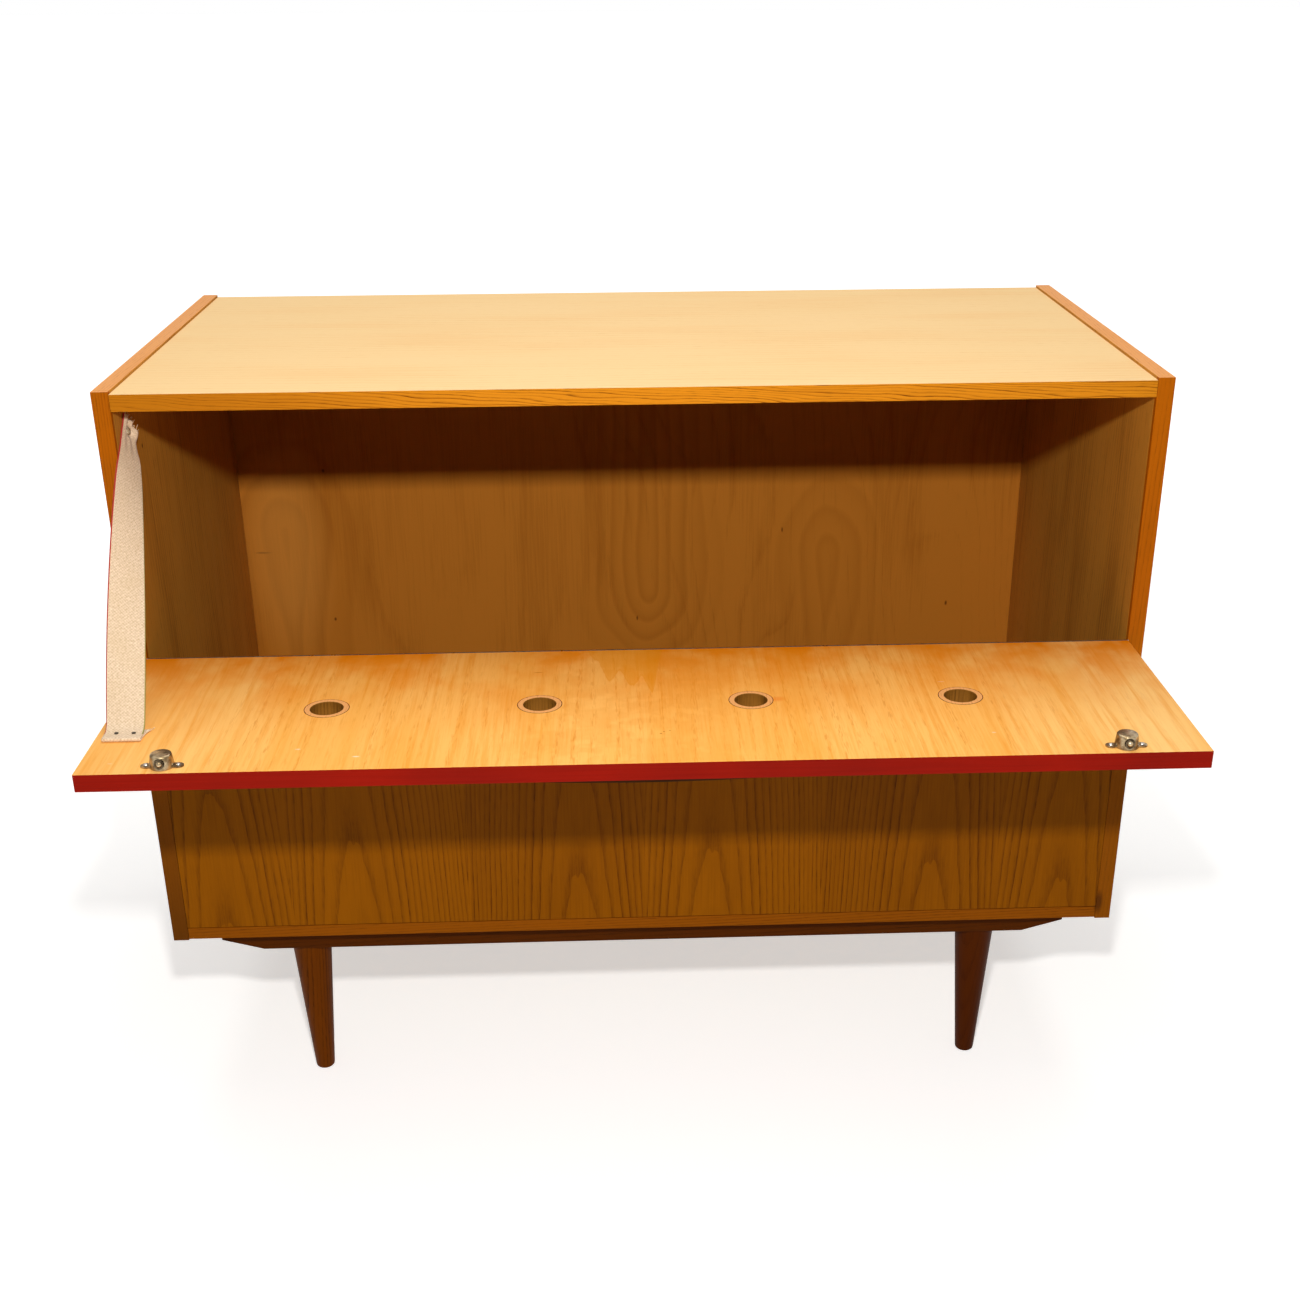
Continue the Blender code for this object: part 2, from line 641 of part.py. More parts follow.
def hinge_leaf(name, own, along, under, hole_reach, parent=None):
    # A sheet with a row of tabs along one edge, each rolled round the pin, and then given its thickness.
    # own picks the tabs: 0 for the even places, 1 for the odd ones.
    middle = KNUCKLE_RADIUS - LEAF_THICKNESS / 2
    width = HINGE_AHEAD + FLAP_THICKNESS + LEAF_PROUD
    notch = KNUCKLE_RADIUS + KNUCKLE_GAP
    pitch = 2 * FLAP_HALF / KNUCKLE_COUNT
    tabs = []
    for place in range(own, KNUCKLE_COUNT, 2):
        start = -FLAP_HALF + place * pitch + KNUCKLE_GAP / 2
        tabs.append((start, start + pitch - KNUCKLE_GAP))
    stops = sorted({-FLAP_HALF, FLAP_HALF} | {edge for tab in tabs for edge in tab})
    bm = bmesh.new()
    rows = [[bm.verts.new(X_AXIS * x + under * middle + along * reach) for x in stops]
            for reach in (width, notch)]
    rims = []
    for index in range(len(stops) - 1):
        bm.faces.new((rows[0][index], rows[0][index + 1], rows[1][index + 1], rows[1][index]))
        if (stops[index], stops[index + 1]) in tabs:
            rims.append(bm.edges.get((rows[1][index], rows[1][index + 1])))
    necks = bmesh.ops.extrude_edge_only(bm, edges=rims)["geom"]
    bmesh.ops.translate(bm, vec=-along * notch, verts=[v for v in necks if isinstance(v, bmesh.types.BMVert)])
    rims = [e for e in necks if isinstance(e, bmesh.types.BMEdge)]
    rims = [e for e in rims if all(abs(v.co.dot(along)) < 1e-7 for v in e.verts)]
    ends = list({vert for edge in rims for vert in edge.verts})
    bmesh.ops.spin(bm, geom=ends + rims, cent=(0, 0, 0), axis=under.cross(-along),
                   angle=KNUCKLE_ROLL, steps=KNUCKLE_STEPS)
    bmesh.ops.remove_doubles(bm, verts=bm.verts, dist=1e-6)
    bmesh.ops.recalc_face_normals(bm, faces=bm.faces)
    leaf = add_object(name, mesh_from(bm, name), NICKEL, (0, HINGE_Y, HINGE_Z), parent)
    wall = leaf.modifiers.new("sheet", "SOLIDIFY")
    wall.thickness = LEAF_THICKNESS
    wall.offset = 0
    wall.use_even_offset = True
    cuts = Cuts(leaf)
    axis = Vector((0, HINGE_Y, HINGE_Z))
    for x in HINGE_HOLES_X:
        spot = axis + X_AXIS * x + along * hole_reach
        cuts.bore(HINGE_HOLE_RADIUS, spot, spot + under * (KNUCKLE_RADIUS + LEAF_THICKNESS))
    cuts.make()


def piano_hinge():
    hinge_leaf("hinge_leaf_fixed", 0, Y_AXIS, -Z_AXIS, HINGE_AHEAD + FRONT_PANEL_THICKNESS / 2)
    hinge_leaf("hinge_leaf_flap", 1, Z_AXIS, -Y_AXIS, HINGE_AHEAD + FLAP_THICKNESS / 2, FLAP_AXIS)
    bm = bmesh.new()
    add_rod(bm, HINGE_PIN_RADIUS, (-FLAP_HALF, 0, 0), (FLAP_HALF, 0, 0), SMALL_STEPS)
    pin = add_object("hinge_pin", mesh_from(bm, "hinge_pin"), STEEL, (0, HINGE_Y, HINGE_Z))
    smooth_round(pin)


def flap_panel():
    panel = board("flap_panel", (-FLAP_HALF, FLAP_FRONT_Y, FLAP_Z), (FLAP_HALF, FLAP_BACK_Y, FLAP_TOP_Z),
                  LACQUER, FLAP_AXIS)
    cuts = Cuts(panel)
    vent_y = (FLAP_FRONT_Y + FLAP_BACK_Y) / 2
    pitch = 2 * FLAP_HALF / (VENT_COUNT + 1)
    for index, x in enumerate(spread(VENT_COUNT, pitch * (VENT_COUNT - 1))):
        cuts.bore(VENT_RING_RADIUS + SEAT, (x, vent_y, FLAP_Z - FLAP_THICKNESS),
                  (x, vent_y, FLAP_TOP_Z + FLAP_THICKNESS), ROUND_STEPS)
        vent_ring("vent_ring_" + str(index + 1), (x, vent_y, FLAP_Z))
    for hand in HANDS:
        for x, y, z in catch_screw_places(hand):
            cuts.bore(CATCH_SCREW_SHANK_RADIUS + SEAT, (x, y, z), (x, y, z - CATCH_SCREW_LENGTH - SEAT))
    for x, y, z in TACKS:
        cuts.bore(TACK_SHANK_RADIUS + SEAT, (x, y, z), (x, y, z - TACK_LENGTH - SEAT), BORE_STEPS)
    for x, y, z in HANDLE_DOWELS:
        cuts.bore(HANDLE_DOWEL_RADIUS + SEAT, (x, y, z - FLAP_THICKNESS),
                  (x, y, z + HANDLE_DOWEL_IN_FLAP + SEAT), SMALL_STEPS)
    cuts.make()


def handle():
    # A bar whose outer face is a shallow arc, and whose ends are rounded off.
    half = HANDLE_LENGTH / 2
    rise = HANDLE_DEPTH - HANDLE_END_DEPTH
    radius = (half ** 2 + rise ** 2) / (2 * rise)
    outline = [(-half, 0), (-half, HANDLE_END_ROUND - HANDLE_END_DEPTH)]
    reach = half - HANDLE_END_ROUND
    for x in spread(HANDLE_STEPS + 1, 2 * reach):
        outline.append((x, radius - HANDLE_DEPTH - math.sqrt(radius ** 2 - x ** 2)))
    outline += [(half, HANDLE_END_ROUND - HANDLE_END_DEPTH), (half, 0)]
    mesh = outline_mesh("handle", outline, HANDLE_HEIGHT)
    mesh.transform(Matrix.Rotation(math.radians(90), 4, "X"))
    bar = add_object("handle", mesh, BROWN_WOOD, (0, HANDLE_Y, FLAP_Z - SEAT), FLAP_AXIS)
    cuts = Cuts(bar)
    bm = bmesh.new()
    add_rod(bm, HANDLE_DOWEL_RADIUS, (0, 0, -HANDLE_DOWEL_IN_HANDLE), (0, 0, HANDLE_DOWEL_IN_FLAP),
            SMALL_STEPS)
    dowel = mesh_from(bm, "handle_dowel")
    for number, (x, y, z) in enumerate(HANDLE_DOWELS, 1):
        cuts.bore(HANDLE_DOWEL_RADIUS + SEAT, (x, y, z - HANDLE_DOWEL_IN_HANDLE - SEAT),
                  (x, y, z + HANDLE_DEPTH), SMALL_STEPS)
        peg = add_object("handle_dowel_" + str(number), dowel.copy(), PEG_WOOD, (x, y, z), FLAP_AXIS)
        smooth_round(peg)
    cuts.make()


def vent_ring(name, base):
    edge = VENT_RING_CHAMFER
    profile = [(VENT_BORE_RADIUS, edge), (VENT_BORE_RADIUS, FLAP_THICKNESS - edge),
               (VENT_BORE_RADIUS + edge, FLAP_THICKNESS), (VENT_RING_RADIUS, FLAP_THICKNESS),
               (VENT_RING_RADIUS, 0), (VENT_BORE_RADIUS + edge, 0)]
    turned_piece(name, profile, PEG_WOOD, base, ROUND_STEPS, closed=True, parent=FLAP_AXIS)


def catch_case(name, base, screw_places):
    inner_edge = CUP_EDGE_ROUND - CUP_WALL
    outer_arc = []
    inner_arc = []
    for step in range(4):
        angle = math.radians(30 * step)
        shift = math.sin(angle)
        drop = 1 - math.cos(angle)
        flat = CUP_TOP_RADIUS - CUP_EDGE_ROUND
        outer_arc.append((flat + CUP_EDGE_ROUND * shift, CUP_HEIGHT - CUP_EDGE_ROUND * drop))
        inner_arc.append((flat + inner_edge * shift, CUP_HEIGHT - CUP_WALL - inner_edge * drop))
    profile = [(0, CUP_HEIGHT)] + outer_arc + [(CUP_BASE_RADIUS, 0), (CUP_BASE_RADIUS - CUP_WALL, 0)]
    profile += inner_arc[::-1] + [(0, CUP_HEIGHT - CUP_WALL)]
    cup = turned_piece(name, profile, NICKEL, base, ROUND_STEPS, parent=FLAP_AXIS)
    ears = outline_mesh(name + "_ears", rounded_slab(EAR_SPAN, 2 * EAR_RADIUS, EAR_RADIUS, 4), EAR_THICKNESS)
    plate = add_object(name + "_ears", ears, None, Vector(base) + Z_AXIS * EAR_THICKNESS / 2)
    combine(cup, plate, "UNION")
    cuts = Cuts(cup)
    x, y, z = base
    hollow = CUP_BASE_RADIUS - CUP_WALL - SEAT
    cuts.bore(hollow, (x, y, z - CUP_WALL), (x, y, z + EAR_THICKNESS + CUP_WALL), ROUND_STEPS)
    cuts.bore(SLEEVE_RADIUS + SEAT, (x, y, z + BALL_HEIGHT), (x, y - 2 * CUP_BASE_RADIUS, z + BALL_HEIGHT),
              SMALL_STEPS)
    for x, y, z in screw_places:
        cuts.bore(CATCH_SCREW_SHANK_RADIUS + SEAT, (x, y, z - 2 * EAR_THICKNESS), (x, y, z + EAR_THICKNESS))
    cuts.make()


def ball_catch(hand):
    base = Vector((catch_centre(hand), CATCH_Y, FLAP_TOP_Z + SEAT))
    screw_places = catch_screw_places(hand)
    catch_case("catch_case_" + hand, base, screw_places)
    mouth = base + Vector((0, -SLEEVE_MOUTH_STANDOFF, BALL_HEIGHT))
    facing = (math.radians(90), 0, 0)
    sleeve = [(0, SLEEVE_FLOOR), (SLEEVE_BORE_RADIUS, SLEEVE_FLOOR),
              (SLEEVE_BORE_RADIUS, SLEEVE_LENGTH - SLEEVE_LIP_LENGTH),
              (SLEEVE_LIP_RADIUS, SLEEVE_LENGTH - SLEEVE_LIP_LENGTH), (SLEEVE_LIP_RADIUS, SLEEVE_LENGTH),
              (SLEEVE_RADIUS, SLEEVE_LENGTH), (SLEEVE_RADIUS, 0), (0, 0)]
    turned_piece("catch_sleeve_" + hand, sleeve, NICKEL, mouth + Y_AXIS * SLEEVE_LENGTH, SMALL_STEPS,
                 parent=FLAP_AXIS, rotation=facing)
    ball_centre = mouth + Y_AXIS * BALL_SINK
    seat = add_empty("ball_axis_" + hand, ball_centre, FLAP_AXIS)
    bm = bmesh.new()
    bmesh.ops.create_uvsphere(bm, u_segments=SMALL_STEPS, v_segments=SMALL_STEPS // 2 + 2, radius=BALL_RADIUS)
    ball = add_object("catch_ball_" + hand, mesh_from(bm, "catch_ball_" + hand), STEEL, ball_centre, seat)
    ball.rotation_euler = facing
    smooth_round(ball)
    start = ball_centre.y + BALL_RADIUS + SPRING_WIRE_RADIUS + SEAT
    end = mouth.y + SLEEVE_LENGTH - SLEEVE_FLOOR - SPRING_WIRE_RADIUS - SEAT
    catch_spring("catch_spring_" + hand, base.x, base.z + BALL_HEIGHT, start, end)
    screw = round_head(CATCH_SCREW_HEAD_RADIUS, CATCH_SCREW_HEAD_HEIGHT, CATCH_SCREW_SHANK_RADIUS,
                       CATCH_SCREW_LENGTH)
    for number, place in enumerate(screw_places, 1):
        name = "catch_screw_" + hand + "_" + str(number)
        fastener(name, place, screw, Z_AXIS, NICKEL, SMALL_STEPS, FLAP_AXIS)


def catch_spring(name, x, z, start, end):
    points_per_turn = 8
    count = SPRING_TURNS * points_per_turn
    curve = bpy.data.curves.new(name, "CURVE")
    curve.dimensions = "3D"
    curve.bevel_depth = SPRING_WIRE_RADIUS
    curve.bevel_resolution = 1
    curve.use_fill_caps = True
    spline = curve.splines.new("POLY")
    spline.points.add(count)
    for index, point in enumerate(spline.points):
        angle = math.tau * index / points_per_turn
        along = start + (end - start) * index / count
        point.co = (SPRING_RADIUS * math.cos(angle), along - HINGE_Y, SPRING_RADIUS * math.sin(angle), 1)
    spring = add_object(name, curve, STEEL, (x, HINGE_Y, z), FLAP_AXIS)
    gap = (end - start) / SPRING_TURNS - 2 * SPRING_WIRE_RADIUS
    print(spring.name, "gap between turns in mm:", round(gap * 1000, 2))


def strike_plate(hand):
    x = catch_centre(hand)
    plate_z = STRIKE_FACE_Z + STRIKE_THICKNESS / 2
    name = "strike_plate_" + hand
    mesh = outline_mesh(name, rounded_slab(STRIKE_LENGTH, STRIKE_WIDTH, STRIKE_CORNER, 3), STRIKE_THICKNESS)
    plate = add_object(name, mesh, NICKEL, (x, STRIKE_Y, plate_z))
    cuts = Cuts(plate)
    cuts.bore(STRIKE_HOLE_RADIUS, (x, STRIKE_Y, plate_z - STRIKE_THICKNESS),
              (x, STRIKE_Y, plate_z + STRIKE_THICKNESS), SMALL_STEPS)
    for place in strike_screw_places(hand):
        cuts.turned(STRIKE_SCREW_BORE, place, -Z_AXIS)
    cuts.make()
    for number, place in enumerate(strike_screw_places(hand), 1):
        fastener("strike_screw_" + hand + "_" + str(number), place, STRIKE_SCREW, -Z_AXIS, NICKEL, BORE_STEPS)


def strap_sections():
    # Centre, width direction, thickness direction, width and thickness at stations down the webbing.
    # It lies flat on the side board at its screw, twists a quarter turn, and lies flat on the flap.
    screw = Vector((0, STRAP_SCREW_Y, STRAP_SCREW_Z))
    touch = Vector((0, HEM_FRONT_Y + STRAP_HEM_LENGTH, FLAP_TOP_Z + SEAT + STRAP_HEM_THICKNESS / 2))
    run = (touch - screw).normalized()
    across = X_AXIS.cross(run)
    flat_x = -INNER_HALF + SEAT + STRAP_THICKNESS / 2
    sections = []
    for reach in (-STRAP_END_MARGIN, 0, STRAP_END_MARGIN):
        centre = screw + run * reach
        centre.x = flat_x
        sections.append((centre, across, X_AXIS, STRAP_WIDTH, STRAP_THICKNESS))
    start = screw + run * STRAP_END_MARGIN
    for step in range(1, STRAP_TWIST_STEPS + 1):
        turn = math.pi / 2 * step / STRAP_TWIST_STEPS
        share = STRAP_TWIST_SHARE * step / STRAP_TWIST_STEPS
        width = across * math.cos(turn) + X_AXIS * math.sin(turn)
        centre = start.lerp(touch, share)
        centre.x = flat_x + STRAP_WIDTH / 2 * math.sin(turn) + (STRAP_HEM_FROM_SIDE - SEAT) * share ** 2
        sections.append((centre, width, run.cross(width), STRAP_WIDTH, STRAP_THICKNESS))
    for share in (0, 0.15, 1):
        centre = touch - Y_AXIS * STRAP_HEM_LENGTH * share
        centre.x = HEM_X
        sections.append((centre, X_AXIS, Z_AXIS, STRAP_WIDTH, STRAP_HEM_THICKNESS))
    return sections


def strap():
    bm = bmesh.new()
    rings = []
    for centre, width, normal, broad, thick in strap_sections():
        corners = [(-1, -1), (1, -1), (1, 1), (-1, 1)]
        rings.append([bm.verts.new(centre + width * (a * broad / 2) + normal * (b * thick / 2))
                      for a, b in corners])
    # Both broad faces are split along the same diagonal, so they stay parallel where the webbing twists.
    for ring, following in zip(rings, rings[1:]):
        for index in range(4):
            after = (index + 1) % 4
            from_start = index < 2
            bm.faces.new((ring[index], ring[after], following[after] if from_start else following[index]))
            bm.faces.new((ring[index] if from_start else ring[after], following[after], following[index]))
    bm.faces.new(rings[0])
    bm.faces.new(rings[-1])
    bmesh.ops.recalc_face_normals(bm, faces=bm.faces)
    webbing = add_object("strap", mesh_from(bm, "strap"), WEBBING)
    cuts = Cuts(webbing)
    cuts.bore(STRAP_SCREW_SHANK_RADIUS + SEAT, (-CARCASS_WIDTH / 2, STRAP_SCREW_Y, STRAP_SCREW_Z),
              (-INNER_HALF + SIDE_THICKNESS, STRAP_SCREW_Y, STRAP_SCREW_Z))
    for x, y, z in TACKS:
        cuts.bore(TACK_SHANK_RADIUS + SEAT, (x, y, FLAP_Z), (x, y, z + STRAP_HEM_THICKNESS), BORE_STEPS)
    cuts.make()
    head = round_head(STRAP_SCREW_HEAD_RADIUS, STRAP_SCREW_HEAD_HEIGHT, STRAP_SCREW_SHANK_RADIUS,
                      STRAP_SCREW_LENGTH)
    fastener("strap_screw", (STRAP_FACE_X, STRAP_SCREW_Y, STRAP_SCREW_Z), head, X_AXIS, STEEL, SMALL_STEPS)
    tack = flat_head(TACK_HEAD_RADIUS, TACK_HEAD_HEIGHT, TACK_SHANK_RADIUS, TACK_LENGTH)
    for number, place in enumerate(TACKS, 1):
        fastener("strap_tack_" + str(number), place, tack, Z_AXIS, STEEL, BORE_STEPS, FLAP_AXIS)


side_panel("side_panel_left", -1)
side_panel("side_panel_right", 1)
top_panel()
bottom_panel()
back_panel()
lower_front_panel()
tongues()
rails_and_legs()
piano_hinge()
flap_panel()
handle()
for catch_hand in HANDS:
    ball_catch(catch_hand)
    strike_plate(catch_hand)
strap()
print("hinge axis", round(HINGE_Y, 5), round(HINGE_Z, 5), "flap length", round(FLAP_LENGTH, 5))
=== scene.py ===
# %% [markdown]
# # Dressing a bar cabinet with a drop-front flap
# The cabinet's boards, legs and hardware come packed from CAD, in metres, with the floor at zero and the
# front towards -Y. This lesson gives them their real finishes: aged ash and birch veneer, red lacquer,
# stained beech, nickel and cotton webbing. It adds what the solids leave out: the woven strap, wound springs,
# the hinge's screws and the back's nails.

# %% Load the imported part
import math
import random
from types import SimpleNamespace

import bmesh
import bpy
from mathutils import Matrix, Vector


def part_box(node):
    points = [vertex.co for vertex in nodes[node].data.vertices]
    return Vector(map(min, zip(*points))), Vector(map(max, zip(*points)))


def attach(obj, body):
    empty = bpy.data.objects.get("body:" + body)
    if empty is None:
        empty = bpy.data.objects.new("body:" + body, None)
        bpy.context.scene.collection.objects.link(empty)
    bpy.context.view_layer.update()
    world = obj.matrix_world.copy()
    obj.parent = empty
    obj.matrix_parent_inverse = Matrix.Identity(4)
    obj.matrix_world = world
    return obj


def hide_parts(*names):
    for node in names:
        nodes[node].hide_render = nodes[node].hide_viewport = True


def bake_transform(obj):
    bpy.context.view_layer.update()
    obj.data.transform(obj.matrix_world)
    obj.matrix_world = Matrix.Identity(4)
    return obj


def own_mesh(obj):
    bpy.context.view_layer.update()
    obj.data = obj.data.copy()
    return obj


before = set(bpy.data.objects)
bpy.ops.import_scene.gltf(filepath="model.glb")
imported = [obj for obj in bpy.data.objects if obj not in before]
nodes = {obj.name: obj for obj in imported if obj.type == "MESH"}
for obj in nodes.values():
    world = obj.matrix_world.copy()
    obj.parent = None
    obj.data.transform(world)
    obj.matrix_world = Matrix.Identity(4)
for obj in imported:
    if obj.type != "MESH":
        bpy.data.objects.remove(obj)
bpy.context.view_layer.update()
scene = bpy.context.scene
scene.view_settings.view_transform = "Standard"
MM = 0.001

# %% [markdown]
# ## The camera
# The photograph was taken from just above the cabinet and slightly left of its middle. Its focal length and
# optical centre were worked out from the cabinet's own straight edges, so the picture's centre is off the
# optical axis, and the lens shift gives that.

# %% Put the camera where the photographer stood
PICTURE_SIDE = 1300
FOCAL_PIXELS = 1672.5
OPTICAL_CENTRE = Vector((671.3, 746.1))
EYE = Vector((-0.0280, -1.6461, 1.1347))
LOOKING = Vector((0.03313, 0.90386, -0.42655))
RIGHTWARDS = Vector((0.99923, -0.03889, -0.00480))
photo_camera = bpy.data.objects.new("photo_camera", bpy.data.cameras.new("photo_camera"))
photo_camera.data.sensor_width = 36
photo_camera.data.lens = photo_camera.data.sensor_width * FOCAL_PIXELS / PICTURE_SIDE
photo_camera.data.shift_x = 0.5 - OPTICAL_CENTRE.x / PICTURE_SIDE
photo_camera.data.shift_y = OPTICAL_CENTRE.y / PICTURE_SIDE - 0.5
turned_to_object = Matrix((RIGHTWARDS, RIGHTWARDS.cross(LOOKING), -LOOKING)).transposed()
photo_camera.matrix_world = Matrix.Translation(EYE) @ turned_to_object.to_4x4()
scene.collection.objects.link(photo_camera)
scene.camera = photo_camera
print("camera lens", round(photo_camera.data.lens, 2), "mm")

# %% [markdown]
# ## Four small helpers
# Colours are written as sRGB hex values, as a picture editor shows them, and shaders want them linear. A
# node's sockets are filled with numbers, or linked to other nodes. Every node below is added by one function,
# which sets its options, fills its sockets and gives back the output that the next node needs. A colour
# ramp's stops are colours, or single numbers for greys. A new finish starts from Blender's Principled shader.


# %% Colour and node helpers
def linear(hex_code):
    channels = [int(hex_code[place:place + 2], 16) / 255 for place in (0, 2, 4)]
    return tuple(c / 12.92 if c <= 0.04045 else ((c + 0.055) / 1.055) ** 2.4 for c in channels) + (1,)


def fill(node, inputs):
    for socket, value in inputs.items():
        if isinstance(value, bpy.types.NodeSocket):
            node.id_data.links.new(value, node.inputs[socket])
        else:
            node.inputs[socket].default_value = value


def add_node(tree, kind, inputs=(), stops=(), output=0, **settings):
    made = tree.nodes.new("ShaderNode" + kind)
    for name, value in settings.items():
        setattr(made, name, value)
    for number, (position, shade) in enumerate(stops):
        ramp = made.color_ramp.elements
        stop = ramp[number] if number < 2 else ramp.new(position)
        stop.position = position
        stop.color = shade if isinstance(shade, tuple) else (shade, shade, shade, 1)
    fill(made, dict(inputs))
    return made.outputs if output is None else made.outputs[output]


def new_finish(name):
    finish = bpy.data.materials.new(name)
    finish.use_nodes = True
    return finish, finish.node_tree, finish.node_tree.nodes["Principled BSDF"]


print("lipping orange in linear light", [round(c, 3) for c in linear("D6861C")])

# %% [markdown]
# ## How wood is drawn
# A board or a leaf of veneer is a slice through a log. Each year adds a ring round the pith, so the distance
# from the pith, divided by the ring's width, says which year a point grew in. The log tapers, so the rings
# rise along it, and a flat slice then shows nested peaks. In ash each ring starts with a dark line of open
# pores. In birch and beech the pores are spread out, and a ring only gets slowly darker. Peeled veneer shows
# it as a soft line. That one model, with its own pith, ring width and colours, gives every wooden finish
# here. The pores are really 0.2 mm wide: they are drawn about 1 mm wide, as a picture of the whole cabinet
# wouldn't show finer ones.

# %% Three kinds of year ring
RING_POROUS = ((0, 1.0), (1, 0.12), (0.1, 0.8), (0.28, 0.25), (0.6, 0.04))
DIFFUSE_POROUS = ((0, 0.0), (1, 0.0), (0.45, 0.35), (0.78, 1.0), (0.92, 0.5))
PEELED = ((0, 0.0), (1, 0.0), (0.3, 0.3), (0.5, 1.0), (0.58, 0.25))
SATIN_SHINE = 0.03
print("a ring goes from", RING_POROUS[0][1], "to", RING_POROUS[1][1])

# %% [markdown]
# Leaves of veneer are opened like a book. Each is its neighbour's mirror image, slid a little up or down, and
# some come out darker. A colour ramp with sharp steps holds the slip and the tone of each leaf. The figure
# itself is never quite regular, so noises that are drawn out along the grain sway the rings, roughen them and
# add fibres and pores.

# %% Open the leaves and draw the noises
LONGEST_SLIP_MM = 200
WOBBLE_MM = 0.8


def open_leaves(tree, across, along, leaf_mm, leaves):
    count = len(leaves)
    width = leaf_mm * MM
    number = add_node(tree, "Math", {0: across, 1: 1 / width, 2: count / 2}, operation="MULTIPLY_ADD")
    number = add_node(tree, "Math", {0: number, 1: 1 / count}, operation="MULTIPLY")
    steps = [(step / count, (slip / LONGEST_SLIP_MM, tone, 0, 1)) for step, (slip, tone) in enumerate(leaves)]
    picker = add_node(tree, "ValToRGB", {0: number}, [steps[0], steps[-1], *steps[1:-1]])
    picker.node.color_ramp.interpolation = "CONSTANT"
    leaf = add_node(tree, "SeparateColor", {0: picker}, output=None)
    across = add_node(tree, "Math", {0: across, 1: width}, operation="PINGPONG")
    slid = {0: leaf["Red"], 1: -LONGEST_SLIP_MM * MM, 2: along}
    along = add_node(tree, "Math", slid, operation="MULTIPLY_ADD")
    return across, along, leaf["Green"]


def grain_noises(tree, grain, sway_mm, sway_size):
    sizes = {"sway": (*sway_size, 1), "wobble": (8, 30, 1), "fibre": (1.6, 60, 2), "pores": (1.1, 14, 1),
             "patch": (70, 300, 2)}
    noises = {}
    for label, (width_mm, length_mm, detail) in sizes.items():
        stretch = (1 / (width_mm * MM), 1 / (width_mm * MM), 1 / (length_mm * MM))
        vector = add_node(tree, "VectorMath", {0: grain, 1: stretch}, operation="MULTIPLY")
        noises[label] = add_node(tree, "TexNoise", {"Vector": vector, "Scale": 1, "Detail": detail})
    for label, size_mm in (("sway", sway_mm), ("wobble", WOBBLE_MM)):
        inputs = {0: noises[label], 1: 2 * size_mm * MM, 2: -size_mm * MM}
        noises[label] = add_node(tree, "Math", inputs, operation="MULTIPLY_ADD")
    return noises


print("leaves can slip up to", LONGEST_SLIP_MM, "mm")

# %% [markdown]
# The rings come next. A good year gives a dark ring and a poor one a faint ring, which a random number for
# each year says. The finish then mixes three tones: pale wood, the dark of the ring, and the open pores.


# %% Grow the rings
def year_rings(tree, across, depth, along, noises, pith, ring_mm, rise, season):
    sideways = add_node(tree, "Math", {0: across, 1: pith[0]}, operation="SUBTRACT")
    sideways = add_node(tree, "Math", {0: sideways, 1: noises["sway"]})
    inwards = add_node(tree, "Math", {0: depth, 1: pith[1]}, operation="SUBTRACT")
    radius = add_node(tree, "CombineXYZ", {0: sideways, 1: inwards})
    radius = add_node(tree, "VectorMath", {0: radius}, operation="LENGTH", output="Value")
    for bend, share in ((along, rise), (noises["wobble"], ring_mm / 8)):
        radius = add_node(tree, "Math", {0: bend, 1: share, 2: radius}, operation="MULTIPLY_ADD")
    years = add_node(tree, "Math", {0: radius, 1: ring_mm * MM}, operation="DIVIDE")
    part_of_year = add_node(tree, "Math", {0: years}, operation="FRACT")
    year = add_node(tree, "Math", {0: years}, operation="FLOOR")
    weather = add_node(tree, "TexWhiteNoise", {"W": year}, noise_dimensions="1D", output="Value")
    weather = add_node(tree, "Math", {0: weather, 1: 0.6, 2: 0.4}, operation="MULTIPLY_ADD")
    ring = add_node(tree, "ValToRGB", {0: part_of_year}, season)
    return add_node(tree, "Math", {0: ring, 1: weather}, operation="MULTIPLY")


print("year_rings() is ready")


